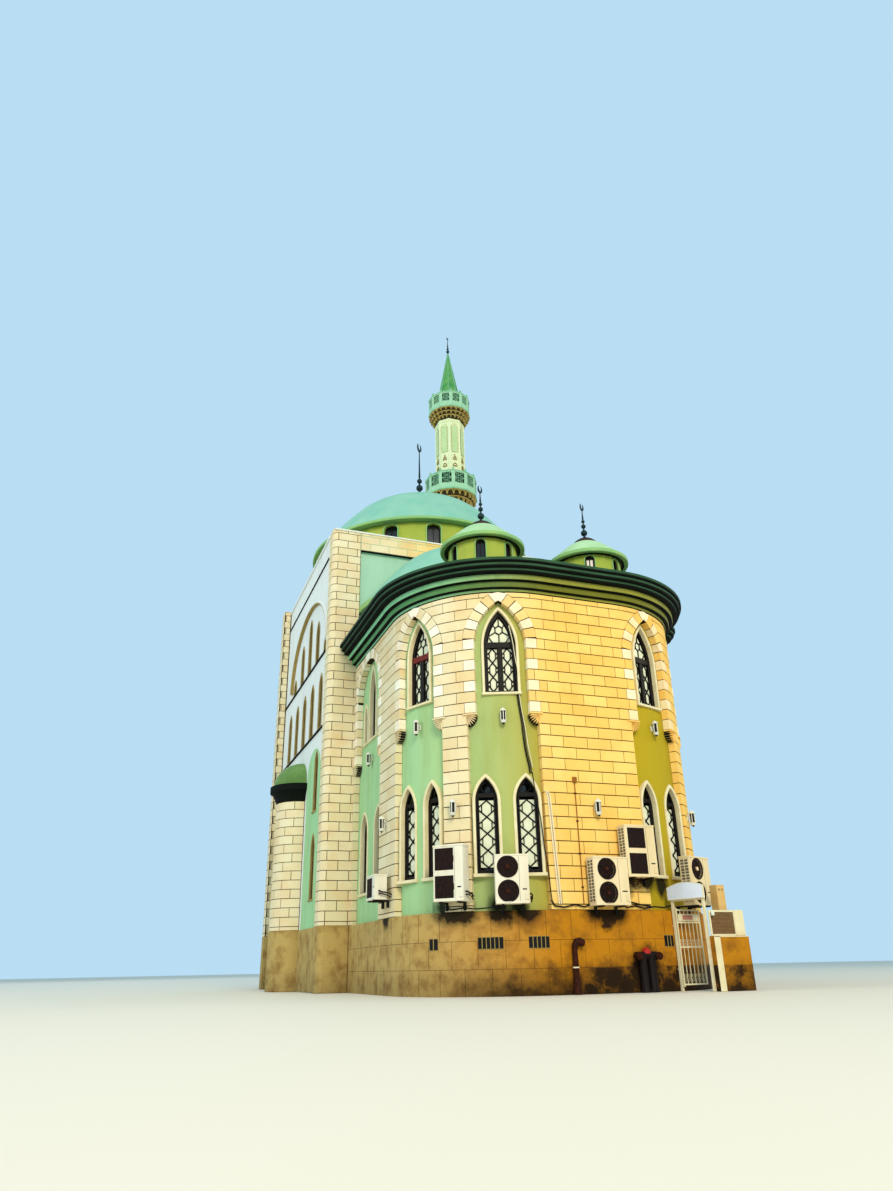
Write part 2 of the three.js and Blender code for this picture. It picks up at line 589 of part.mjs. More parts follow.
function buildEntrance() {
  const { centre, halfWidth, top, frame, leafThick } = entrance;
  const x = block.halfWidth;
  const outer = box(x - 200, x - 100, centre - halfWidth + gap, centre + halfWidth - gap, storey.groundTop + gap, top - gap);
  const pocket = (from, to) => box(x - 100 - leafThick / 2, x, from, to, storey.groundTop + 200, top - 2 * frame);
  const leaves = cutAll(outer, [pocket(centre - halfWidth + frame * 1.6, centre - frame), pocket(centre + frame, centre + halfWidth - frame * 1.6)]);
  addPart("entrance_door", leaves, "door", 0.6);
}

function buildApse() {
  const { y, radius, wall, wallTop, corniceTop, corniceRadius, domeRise } = apse;
  const x = -block.halfWidth;
  const keep = box(x - 3000, x - gap, y - 3000, y + 3000, -100, 12000);
  const ring = [[radius - wall, 0], [radius, 0], [radius, wallTop], [radius - wall, wallTop], [radius - wall, 0]];
  addPart("apse_wall", turn(ring, x, y, 24).intersect(keep), "stone");
  const moulding = [[0, wallTop + gap], [radius, wallTop + gap], [radius + 60, wallTop + 120], [corniceRadius - 80, wallTop + 330],
    [corniceRadius, wallTop + 380], [corniceRadius, corniceTop], [0, corniceTop]];
  addPart("apse_cornice", turn(moulding, x, y, 24).intersect(keep), "cornice");
  const foot = corniceTop + gap;
  const outside = arcProfile(corniceRadius - 120, foot + 60, foot + domeRise, 5);
  const inside = arcProfile(corniceRadius - 220, foot, foot + domeRise - 100, 5).reverse();
  const shell = [...inside, [corniceRadius - 120, foot], ...outside];
  addPart("apse_dome", turn(shell, x, y, 24).intersect(keep), "dome", 0.6);
}

function octagonPlan(x, y, radius, phase = Math.PI / 8) {
  const points = [];
  for (let i = 0; i < 8; i += 1) {
    const angle = phase + (Math.PI * i) / 4;
    points.push([x + radius * Math.cos(angle), y + radius * Math.sin(angle)]);
  }
  return points;
}

// Deck on stepped corbels with a parapet pierced by one panel a side
function balcony(corbelFoot, deck, parapetTop, radius) {
  const { x, y, shaftRadius, bore, parapetWall, sides } = minaret;
  const tier = (deck - 120 - corbelFoot) / 3;
  const reach = (radius - shaftRadius) / 3.4;
  const profile = [[bore, corbelFoot], [shaftRadius + 15, corbelFoot]];
  for (let i = 0; i < 3; i += 1) {
    profile.push([shaftRadius + reach * (i + 0.45), corbelFoot + tier * (i + 0.7)]);
    profile.push([shaftRadius + reach * (i + 1), corbelFoot + tier * (i + 1)]);
  }
  profile.push([radius, deck - 110], [radius, parapetTop], [radius - parapetWall, parapetTop], [radius - parapetWall, deck],
    [bore, deck], [bore, corbelFoot]);
  const body = turn(profile, x, y, sides, Math.PI / sides);
  const holes = [];
  const half = radius * Math.sin(Math.PI / sides) - 110;
  for (let i = 0; i < sides; i += 1) {
    const angle = (2 * Math.PI * (i + 0.5)) / sides + Math.PI / sides;
    const place = { x, y, nx: Math.cos(angle), ny: Math.sin(angle) };
    const outline = [[-half, deck + 300], [half, deck + 300], [half, parapetTop - 130], [-half, parapetTop - 130]];
    holes.push(throughWall(outline, place, radius + 200, radius * 0.9 - 60));
  }
  return cutAll(body, holes);
}

function minaretShaft(foot, top, panelled) {
  const { x, y, shaftRadius, bore } = minaret;
  const hollow = raise(octagonPlan(x, y, bore), foot - 100, top + 100);
  const shaft = raise(octagonPlan(x, y, shaftRadius), foot, top).subtract(hollow);
  if (!panelled) return shaft;
  const apothem = shaftRadius * Math.cos(Math.PI / 8);
  const panels = [];
  for (let i = 0; i < 8; i += 1) {
    const angle = (Math.PI * i) / 4;
    const place = { x, y, nx: Math.cos(angle), ny: Math.sin(angle) };
    panels.push(throughWall(pointedArch(250, foot + 250, top - 560, top - 320, 0, 2), place, apothem + 100, apothem - 40));
  }
  return cutAll(shaft, panels);
}

function buildMinaret() {
  const m = minaret;
  const { x, y } = m;
  const tower = box(x - m.baseHalf, x + m.baseHalf, block.back + gap, y + m.baseHalf, 0, m.baseTop);
  const inside = m.baseHalf - m.baseWall;
  addPart("minaret_base", tower.subtract(box(x - inside, x + inside, y - inside, y + inside, -100, m.baseTop - 400))
    .subtract(raise(octagonPlan(x, y, m.bore), m.baseTop - 500, m.baseTop + 100)), "white");
  addPart("minaret_lower_shaft", minaretShaft(m.baseTop + gap, m.lowCorbelFoot - gap, false), "pale");
  addPart("minaret_lower_balcony", balcony(m.lowCorbelFoot, m.lowDeck, m.lowParapetTop, m.lowRadius), "pale");
  addPart("minaret_upper_shaft", minaretShaft(m.lowDeck + gap, m.highCorbelFoot - gap, true), "pale");
  addPart("minaret_upper_balcony", balcony(m.highCorbelFoot, m.highDeck, m.highParapetTop, m.highRadius), "pale");
  const deck = m.highDeck + gap;
  const spire = [[0, deck + 300], [m.lanternRadius - 120, deck + 200], [m.lanternRadius - 120, deck], [m.lanternRadius + 60, deck],
    [m.lanternRadius + 60, m.lanternTop], [m.coneRadius, m.lanternTop], [m.coneRadius, m.lanternTop + 70], [0, m.coneApex]];
  addPart("minaret_spire", turn(spire, x, y, 8, Math.PI / 8), "cone", 0.5);
  addPart("minaret_finial", finial(x, y, m.coneApex - 160, m.finialTop, m.finialWidth).subtract(turn([[0, m.coneApex - 200],
    [60, m.coneApex - 200], [26, m.coneApex - 10], [0, m.coneApex + gap]], x, y, 8)), "bronze", 0.4, 0.7);
}

// Outdoor unit on a pair of angle brackets, hung on the hall's wall with its fans outwards
function condenser(width, height, depth, foot, fans, standOff) {
  const half = width / 2;
  const casing = box(-half, half, -standOff - depth, -standOff, foot, foot + height);
  const cell = height / fans;
  const wells = [];
  for (let i = 0; i < fans; i += 1) {
    const centre = foot + cell * (i + 0.5);
    const radius = cell * 0.4;
    wells.push(turn([[0, 0], [radius, 0], [radius, 60], [0, 60]], 0, 0, 14)
      .rotate([90, 0, 0]).translate([-half * 0.25, -standOff - depth + 45, centre]));
  }
  const arms = [-1, 1].map((side) => joinAll([
    box(side * half * 0.6 - 20, side * half * 0.6 + 20, -standOff - depth, bracket.into, foot - 40, foot + 5),
    box(side * half * 0.6 - 20, side * half * 0.6 + 20, -hall.plinthProud - bracket.thick, bracket.into, foot - bracket.drop, foot),
  ]));
  return joinAll([cutAll(casing, wells), ...arms]);
}

function buildCondensers() {
  const units = [
    { name: "condenser_1", at: 4080, foot: 2330, width: 800, height: 620, fans: 1 },
    { name: "condenser_2", at: 7070, foot: 2100, width: 800, height: 1300, fans: 2 },
    { name: "condenser_3", at: 8450, foot: 2000, width: 800, height: 1110, fans: 2 },
    { name: "condenser_4", at: 10885, foot: 1960, width: 950, height: 1120, fans: 2 },
    { name: "condenser_5", at: 11815, foot: 2630, width: 860, height: 1250, fans: 2 },
    { name: "condenser_6", at: 13380, foot: 1980, width: 930, height: 1170, fans: 2, depth: 300, standOff: 350 },
  ];
  const seat = wallSeat();
  for (const { name, at, foot, width, height, fans, depth = 340, standOff = 130 } of units) {
    const place = wallPlace(at);
    const turned = THREE.MathUtils.radToDeg(Math.atan2(place.nx, -place.ny));
    const unit = condenser(width, height, depth, foot, fans, standOff).rotate([0, 0, turned]);
    addPart(name, cutAll(unit.translate([place.x, place.y, 0]), seat), "casing", 0.5);
  }
}

function buildGate() {
  const g = gate;
  const half = g.postSize / 2;
  const turned = (solid) => solid.rotate([0, 0, g.heading]).translate([g.x, g.y, 0]);
  // Frame along its own x axis, from the hall's post to the low wall's
  const posts = [0, g.span].map((x) => box(x - half, x + half, -half, half, 0, g.height));
  const header = box(-half, g.span + half, -half, half, g.height - g.postSize, g.height);
  const wide = g.span / 2 + half + g.signOver;
  const signShape = [[-wide, g.signFoot], [wide, g.signFoot], [wide, g.signSide]];
  for (const share of [0.7, 0.35, 0, -0.35, -0.7]) signShape.push([wide * share, g.signTop - (g.signTop - g.signSide) * share ** 2]);
  signShape.push([-wide, g.signSide]);
  const sign = throughWall(signShape, { x: g.span / 2, y: -half, nx: 0, ny: -1 }, g.signThick, -5);
  const hinge = g.hingeInset;
  const bearings = [];
  for (const [from, to, collarFrom, collarTo, pinFrom, pinTo] of [
    [g.leafFoot - 35, g.leafFoot - 6, g.leafFoot - 7, g.leafFoot - gap, g.leafFoot - 7, g.leafFoot + 30],
    [g.leafTop + 6, g.leafTop + 35, g.leafTop + gap, g.leafTop + 7, g.leafTop - 30, g.leafTop + 7],
  ]) {
    bearings.push(box(half - 5, hinge + 16, -16, 16, from, to));
    bearings.push(turn([[0, collarFrom], [g.collarRadius, collarFrom], [g.collarRadius, collarTo], [0, collarTo]], hinge, 0, 16));
    bearings.push(turn([[0, pinFrom], [g.pinRadius, pinFrom], [g.pinRadius, pinTo], [0, pinTo]], hinge, 0, 16));
  }
  const lugs = lug.heights.map((z) => box(-half - lug.reach, -half + 5, -lug.half, lug.half, z - lug.half, z + lug.half));
  addPart("gate_frame", cutAll(turned(joinAll([...posts, header, sign, ...bearings, ...lugs])), wallSeat()), "steel", 0.5);
  // Leaf from its hinge outwards, shut, then swung back towards the hall's wall
  const width = g.span - half - hinge - g.latchGap;
  const stile = g.bar / 2;
  const deep = g.leafThick / 2;
  const rails = [g.leafFoot, g.leafFoot + 850, g.leafTop - 330, g.leafTop - g.bar].map((z) => box(-stile, width, -deep, deep, z, z + g.bar));
  const uprights = [[-stile, stile], [width - g.bar, width]].map(([from, to]) => box(from, to, -deep, deep, g.leafFoot, g.leafTop));
  const bars = [];
  for (let i = 1; i <= g.leafBars; i += 1) {
    const x = (width * i) / (g.leafBars + 1);
    bars.push(box(x - 8, x + 8, -8, 8, g.leafFoot + 10, g.leafTop - 10));
  }
  const bore = (from, to) => turn([[0, from], [g.boreRadius, from], [g.boreRadius, to], [0, to]], 0, 0, 16);
  const bores = [bore(g.leafFoot - 10, g.leafFoot + 36), bore(g.leafTop - 36, g.leafTop + 10)];
  const leaf = cutAll(joinAll([...rails, ...uprights, ...bars]), bores);
  addPart("gate_leaf", turned(leaf.rotate([0, 0, g.openAngle]).translate([hinge, 0, 0])), "steel", 0.5);
}

// Low wall beyond the gate with a framed panel on top, and a cabinet behind it
function buildYard() {
  const { left, right, front, thick, top, panelTop, panelFrame, panelThick, board } = lowWall;
  addPart("low_wall", box(left, right, front, front + thick, 0, top), "plinth");
  const middle = front + thick / 2;
  const deep = panelThick / 2;
  const foot = top + gap;
  const panel = box(left, right, middle - deep, middle + deep, foot, panelTop);
  const recess = (side) => box(left + panelFrame, right - board, middle + side * deep - 9, middle + side * deep + 9,
    foot + panelFrame, panelTop - panelFrame);
  addPart("wall_panel", cutAll(panel, [recess(-1), recess(1)]), "steel", 0.5);
  addPart("yard_cabinet", box(cabinet.left, cabinet.right, cabinet.front, cabinet.front + cabinet.depth, 0, cabinet.top), "stone", 0.6);
}

buildHallWalls();
buildCornice();
buildSidePier();
buildHallFloors();
buildSmallDomes();
buildSemiDome();
buildMainDome();
buildBlock();
buildEntrance();
buildApse();
buildMinaret();
buildCondensers();
buildGate();
buildYard();

// Centre the footprint on the origin
const extent = new THREE.Box3().setFromObject(parts);
parts.position.set(-(extent.min.x + extent.max.x) / 2, -(extent.min.y + extent.max.y) / 2, 0);

export default group;
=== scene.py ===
# Looks for the mosque building: stone, stucco, mouldings, windows, domes, minaret and yard
import bpy
import bmesh
import json
import math
from collections import defaultdict
from mathutils import Matrix, Vector

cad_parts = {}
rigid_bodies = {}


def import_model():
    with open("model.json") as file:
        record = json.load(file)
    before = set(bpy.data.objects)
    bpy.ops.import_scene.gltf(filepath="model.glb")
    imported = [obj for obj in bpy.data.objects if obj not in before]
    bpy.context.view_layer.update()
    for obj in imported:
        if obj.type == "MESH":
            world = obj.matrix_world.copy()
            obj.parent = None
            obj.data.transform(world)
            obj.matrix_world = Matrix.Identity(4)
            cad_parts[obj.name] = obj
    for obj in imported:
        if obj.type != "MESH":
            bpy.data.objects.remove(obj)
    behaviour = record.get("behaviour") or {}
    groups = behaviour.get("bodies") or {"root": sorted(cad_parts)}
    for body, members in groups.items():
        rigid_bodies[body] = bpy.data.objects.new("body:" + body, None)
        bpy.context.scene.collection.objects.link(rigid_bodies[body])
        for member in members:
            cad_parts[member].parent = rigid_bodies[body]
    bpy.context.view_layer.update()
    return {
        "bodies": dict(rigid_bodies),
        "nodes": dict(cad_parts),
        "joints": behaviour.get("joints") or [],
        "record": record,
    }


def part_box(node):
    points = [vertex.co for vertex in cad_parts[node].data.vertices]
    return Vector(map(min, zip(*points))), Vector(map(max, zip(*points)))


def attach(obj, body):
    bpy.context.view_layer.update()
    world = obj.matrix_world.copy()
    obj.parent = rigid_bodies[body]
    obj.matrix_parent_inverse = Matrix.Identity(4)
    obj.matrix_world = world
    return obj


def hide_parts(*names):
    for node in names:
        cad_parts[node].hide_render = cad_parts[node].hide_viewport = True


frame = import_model()
nodes = frame["nodes"]
print("frame loaded,", len(nodes), "nodes")

# Everything below is measured from the hall's axis, its stone front and the pavement, in metres
domeAt = (0, 14.07)
drumLow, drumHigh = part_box("main_drum")
shiftX = (drumLow[0] + drumHigh[0]) / 2 - domeAt[0]
shiftY = (drumLow[1] + drumHigh[1]) / 2 - domeAt[1]


def site(x, y, z):
    return Vector((x + shiftX, y + shiftY, z))


def polar(radius, angle, x=0.0, y=0.0):
    return x + radius * math.cos(angle), y + radius * math.sin(angle)


def addObject(name, data):
    item = bpy.data.objects.new(name, data)
    bpy.context.scene.collection.objects.link(item)
    return item


# The hall's wall line

hall = {
    "halfWidth": 4.48, "cornerRadius": 3.28, "length": 7.76, "plinthTop": 1.87, "plinthProud": 0.04,
    "wallTop": 10.25, "facingThick": 0.18, "wallThick": 0.27, "gap": 0.0003,
}
sideLength = hall["length"] - hall["cornerRadius"]
cornerLength = math.pi / 2 * hall["cornerRadius"]
cornerX = hall["halfWidth"] - hall["cornerRadius"]
wallLength = 2 * (sideLength + cornerLength) + 2 * cornerX
wallFace = -hall["facingThick"]
wallBack = wallFace - hall["wallThick"]


def wallSpot(s):
    # Place and outward direction at a distance along the wall, from its left end
    mirrored = s > wallLength / 2
    run = wallLength - s if mirrored else s
    side = 1 if mirrored else -1
    if run < sideLength:
        return side * hall["halfWidth"], hall["length"] - run, side, 0.0
    angle = min((run - sideLength) / hall["cornerRadius"], math.pi / 2)
    nx, ny = side * math.cos(angle), -math.sin(angle)
    straight = max(0.0, run - sideLength - cornerLength)
    return side * (cornerX - straight) + hall["cornerRadius"] * nx, hall["cornerRadius"] * (1 + ny), nx, ny


# A mapper turns (along, out, height) into a place on the site

def onWall(s, out, z):
    x, y, nx, ny = wallSpot(s)
    return site(x + nx * out, y + ny * out, z)


def flatAt(x, y, nx, ny):
    return lambda u, out, z: site(x - ny * u + nx * out, y + nx * u + ny * out, z)


def ringPoint(u, out, z):
    # For a template of the ring tree
    return Vector((out, u, z))


def rowPoint(u, out, z):
    # For a template of the row tree
    return Vector((u, -out, z))


# Camera, finishes, floor and light; the finishes' names say what they are

view = {"place": (-11.27, -19.54, 0.646), "heading": 20.4925, "pitch": 23.8087, "roll": -1.1557, "lens": 25.459}
camera = addObject("photoCamera", bpy.data.cameras.new("photoCamera"))
camera.data.sensor_fit = "VERTICAL"
camera.data.sensor_height = 36
camera.data.lens = view["lens"]
camera.data.clip_end = 500
camera.matrix_world = (
    Matrix.Translation(site(*view["place"]))
    @ Matrix.Rotation(math.radians(-view["heading"]), 4, "Z")
    @ Matrix.Rotation(math.radians(90 + view["pitch"]), 4, "X")
    @ Matrix.Rotation(math.radians(view["roll"]), 4, "Z")
)
bpy.context.scene.camera = camera


def linear(value):
    return value / 12.92 if value <= 0.04045 else ((value + 0.055) / 1.055) ** 2.4


def colour(hexText):  # sRGB hex to the linear colour that a socket takes
    return tuple(linear(int(hexText[i:i + 2], 16) / 255) for i in (0, 2, 4)) + (1.0,)


def addNode(tree, kind, sockets=None, **settings):
    # Each socket takes a value or another node's output
    node = tree.nodes.new(kind)
    for key, value in settings.items():
        setattr(node, key, value)
    for key, value in (sockets or {}).items():
        if isinstance(value, bpy.types.NodeSocket):
            tree.links.new(value, node.inputs[key])
        else:
            node.inputs[key].default_value = value
    return node


def calc(tree, operation, *values):
    return addNode(tree, "ShaderNodeMath", dict(enumerate(values)), operation=operation).outputs[0]


def noise(tree, point, scale, detail, rough=0.5):
    sockets = {"Vector": point, "Scale": scale, "Detail": detail, "Roughness": rough}
    return addNode(tree, "ShaderNodeTexNoise", sockets).outputs["Fac"]


def remap(tree, value, fromMin, fromMax, toMax=1.0, toMin=0.0, **settings):
    sockets = {"Value": value, "From Min": fromMin, "From Max": fromMax, "To Min": toMin, "To Max": toMax}
    return addNode(tree, "ShaderNodeMapRange", sockets, **settings).outputs["Result"]


def blend(tree, factor, first, second):
    first, second = (colour(value) if isinstance(value, str) else value for value in (first, second))
    return addNode(tree, "ShaderNodeMix", {0: factor, 6: first, 7: second}, data_type="RGBA").outputs[2]


def axisOf(tree, point, letter):
    return addNode(tree, "ShaderNodeSeparateXYZ", {"Vector": point}).outputs[letter]


def plainFinish(name, hexText, roughness, specular=0.15, metallic=0.0):
    finish = bpy.data.materials.new(name)
    finish.use_nodes = True
    shader = finish.node_tree.nodes["Principled BSDF"]
    for key, value in (("Base Color", colour(hexText)), ("Roughness", roughness),
                       ("Specular IOR Level", specular), ("Metallic", metallic)):
        shader.inputs[key].default_value = value
    return finish


def startFinish(*values):
    tree = plainFinish(*values).node_tree
    return tree, tree.nodes["Principled BSDF"], addNode(tree, "ShaderNodeTexCoord").outputs["Object"]


def closeFinish(tree, shader, base, strength, depth, height):
    bump = addNode(tree, "ShaderNodeBump", {"Strength": strength, "Distance": depth, "Height": height})
    tree.links.new(base, shader.inputs["Base Color"])
    tree.links.new(bump.outputs["Normal"], shader.inputs["Normal"])


def streetSide(tree, point, fromX, toX):
    # 0 on the left of the building and 1 on its right; in colours this is painted shade on the left turning to painted
    # sunlight on the right
    return remap(tree, axisOf(tree, point, "X"), fromX + shiftX, toX + shiftX, interpolation_type="SMOOTHSTEP")


def addSootAndShadow(tree, point, cloud, spots, out, dark=None):
    # Ragged dark spots of soot and painted shadow round places on the hall's wall, over a darkness that is there
    # already
    for s, z, radius in spots:
        sockets = {0: point, 1: onWall(s, out, z)}
        gap = addNode(tree, "ShaderNodeVectorMath", sockets, operation="DISTANCE").outputs["Value"]
        ragged = calc(tree, "MULTIPLY_ADD", cloud, 0.8, gap)
        spot = remap(tree, ragged, radius + 0.4, 0.4 + radius * 0.45, 0.97)
        dark = calc(tree, "MAXIMUM", dark, spot) if dark else spot
    return dark


def stoneFinish(name, shadeLow, shadeHigh, sunLow, sunHigh, spots=()):
    # Sawn limestone: each block its own tone, painted shade on the left turning to painted sunlight on the right, fine
    # sawn grain, a light dirt film, soot and painted shadow under the outdoor units
    tree, shader, point = startFinish(name, shadeHigh, 0.82)
    tone = addNode(tree, "ShaderNodeAttribute", attribute_name="tone").outputs["Fac"]
    shade, sun = blend(tree, tone, shadeLow, shadeHigh), blend(tree, tone, sunLow, sunHigh)
    # Painted shade on the left turning to painted sunlight on the right
    base = blend(tree, streetSide(tree, point, -4.0, -0.6), shade, sun)
    base = blend(tree, remap(tree, noise(tree, point, 1.6, 6), 0.42, 0.72, 0.3), base, "DC9A3C")
    if spots:
        # Soot and painted shadow at spots under the outdoor units
        base = blend(tree, addSootAndShadow(tree, point, noise(tree, point, 2.4, 9, 0.65), spots, 0.0), base, "1A0E04")
    closeFinish(tree, shader, base, 0.35, 0.006, noise(tree, point, 42, 5))  # 24 mm tooling marks


def renderFinish(name, shadeHex, sunHex, stainHex, stain=0.35, fromX=-3.4, toX=2.6, grain=55, roughness=0.85, spots=()):
    # Painted sand render: floated grain of about 18 mm, uneven coats and soft run-off stains, painted shade on the left
    # turning to painted sunlight on the right, soot and painted shadow at the spots
    tree, shader, point = startFinish(name, shadeHex, roughness)
    # Painted shade on the left turning to painted sunlight on the right
    base = blend(tree, streetSide(tree, point, fromX, toX), shadeHex, sunHex)
    stretched = addNode(tree, "ShaderNodeMapping", {"Vector": point, "Scale": (1.6, 1.6, 0.35)}).outputs[0]
    runs = noise(tree, stretched, 1.3, 8, 0.62)
    base = blend(tree, remap(tree, runs, 0.45, 0.8, stain), base, stainHex)
    if spots:
        base = blend(tree, addSootAndShadow(tree, point, runs, spots, -0.18), base, "16140A")
    closeFinish(tree, shader, base, 0.4, 0.005, noise(tree, point, grain, 4))


def paintFinish(name, hexText, fadedHex, roughness, scale, fade, metallic=0.0, grain=30, depth=0.002):
    # Brushed paint, with sun-faded clouds
    tree, shader, point = startFinish(name, hexText, roughness, 0.15, metallic)
    cloud = noise(tree, point, scale, 6)
    base = blend(tree, remap(tree, cloud, 0.35, 0.75, fade), hexText, fadedHex)
    closeFinish(tree, shader, base, 0.3, depth, noise(tree, point, grain, 3))
    tree.links.new(remap(tree, cloud, 0, 1, roughness + 0.12, roughness - 0.08), shader.inputs["Roughness"])


def glassFinish(name, hexText, lighterHex):
    # Dark tinted glass, slightly wavy
    tree, shader, point = startFinish(name, hexText, 0.12, 0.5)
    wave = noise(tree, point, 1.4, 2)
    closeFinish(tree, shader, blend(tree, wave, hexText, lighterHex), 0.12, 0.004, wave)


def plinthFinish(name, spots):
    # Ochre masonry paint over slabs, painted shade on the left turning to painted sunlight on the right, dark with
    # splash and rising damp for 0.5 m, soot and painted shadow under the outdoor units
    tree, shader, point = startFinish(name, "C08A34", 0.85)
    # Painted shade on the left turning to painted sunlight on the right
    body = blend(tree, streetSide(tree, point, -5.2, -1.0), "B59A5C", "B8780E")
    cloud = noise(tree, point, 2.4, 9, 0.65)
    height = axisOf(tree, point, "Z")
    level = calc(tree, "SUBTRACT", height, calc(tree, "MULTIPLY", cloud, 1.1))
    amount = calc(tree, "MULTIPLY_ADD", streetSide(tree, point, -4.4, -2.4), 0.7, 0.3)
    damp = calc(tree, "MULTIPLY", remap(tree, level, 0.34, -0.5, 0.92), amount)
    blotches = calc(tree, "MULTIPLY", remap(tree, cloud, 0.33, 0.5, 0.95, 0.35), streetSide(tree, point, -0.9, -0.3))
    lowRow = calc(tree, "MULTIPLY", remap(tree, height, 0.6, 0.56), blotches)
    # Soot and painted shadow under the outdoor units and round the fire inlet
    dark = addSootAndShadow(tree, point, cloud, spots, 0.04, calc(tree, "MAXIMUM", damp, lowRow))
    dirty = blend(tree, remap(tree, cloud, 0.46, 0.7, 0.7), body, "7A4A16")
    closeFinish(tree, shader, blend(tree, dark, dirty, "120A04"), 0.5, 0.006, noise(tree, point, 38, 6))


def balconyFinish(name, deck):
    # One solid painted in two: dark ochre darkened into painted shade under the deck, pale green above it
    tree, shader, point = startFinish(name, "8FC3A0", 0.6)
    above = remap(tree, axisOf(tree, point, "Z"), deck - 0.13, deck - 0.11)
    cloud = noise(tree, point, 5, 6)
    under, over = blend(tree, cloud, "181207", "4A3A16"), blend(tree, cloud, "86BE9A", "B0D6B0")
    closeFinish(tree, shader, blend(tree, above, under, over), 0.3, 0.006, cloud)


studio = {
    "sky": "C2E8FF", "skyStrength": 0.9, "floor": "D6CDBB", "floorSize": 400,
    # Each lamp's place, aim, size in metres, watts and tint
    "lamps": {
        "keyLight": ((-8, -58, 34), (0, 4, 9), 20, 23500, "FFF1D6"),
        "rightLight": ((54, -20, 30), (0, 4, 8), 24, 6200, "FFE3B4"),
        "leftLight": ((-56, -4, 34), (0, 8, 9), 30, 11000, "FBF8F0"),
        "backLight": ((-10, 70, 46), (0, 8, 12), 34, 8000, "FFFFFF"),
    },
}


def buildStudio():
    world = bpy.data.worlds.new("studioSky")
    world.use_nodes = True
    backdrop = world.node_tree.nodes["Background"]
    backdrop.inputs["Color"].default_value = colour(studio["sky"])
    backdrop.inputs["Strength"].default_value = studio["skyStrength"]
    bpy.context.scene.world = world
    bpy.context.scene.view_settings.view_transform = "Standard"
    half = studio["floorSize"] / 2
    mesh = bpy.data.meshes.new("floor")
    corners = [(x * half, y * half, -0.004) for x, y in ((-1, -1), (1, -1), (1, 1), (-1, 1))]
    mesh.from_pydata(corners, [], [(0, 1, 2, 3)])
    mesh.materials.append(plainFinish("paleFloor", studio["floor"], 0.8, 0.5))
    floor = addObject("floor", mesh)
    for name, (place, aim, size, watts, tint) in studio["lamps"].items():
        data = bpy.data.lights.new(name, "AREA")
        data.shape, data.size, data.energy, data.color = "DISK", size, watts, colour(tint)[:3]
        start = Vector(place)
        turn = (Vector(aim) - start).to_track_quat("-Z", "Y").to_matrix().to_4x4()
        addObject(name, data).matrix_world = Matrix.Translation(start) @ turn


buildStudio()
print("studio ready")

stoneFinish("whiteLimestone", "F1E9D0", "F6F0DC", "F3DFAE", "F8E8C2")
glassFinish("tintedGlass", "0B0E10", "1B2226")
# Renders: colour in painted shade, in painted sun and of stains, how stained, where the painted light changes, grain,
# roughness
for row in (
    # The dark mortar is darker still, as painted shade in the recessed joints
    ("darkMortar", "2C1E0C", "2A1404", "140A02", 0.5),
    ("midGreenPaint", "4F8A55", "70701E", "2F4A22", 0.4, -5.0, -0.6, 30, 0.5),
    ("lightGreenPaint", "7DBE8E", "8E8B34", "3F6A3A", 0.4, -5.0, -0.6, 30, 0.5),
    ("whiteWallRender", "E2E4DE", "EDE6CC", "B4B8A8", 0.35, -5.6, 5.6),
    ("paleGreenPanelRender", "A4CCB0", "A6CF9C", "7FB294", 0.4, -4, 4),
    ("creamMinaretRender", "DCE8C0", "E6E9B8", "A9B98A", 0.3, 2, 6),
    ("casingEnamel", "E6E0CC", "E8D2A4", "B09058", 0.4, -4.0, 1.2, 20, 0.45),
    ("plainConcrete", "B9B5AB", "BDB6A6", "8F8B80", 0.4, -5, 5),
):
    renderFinish(*row)
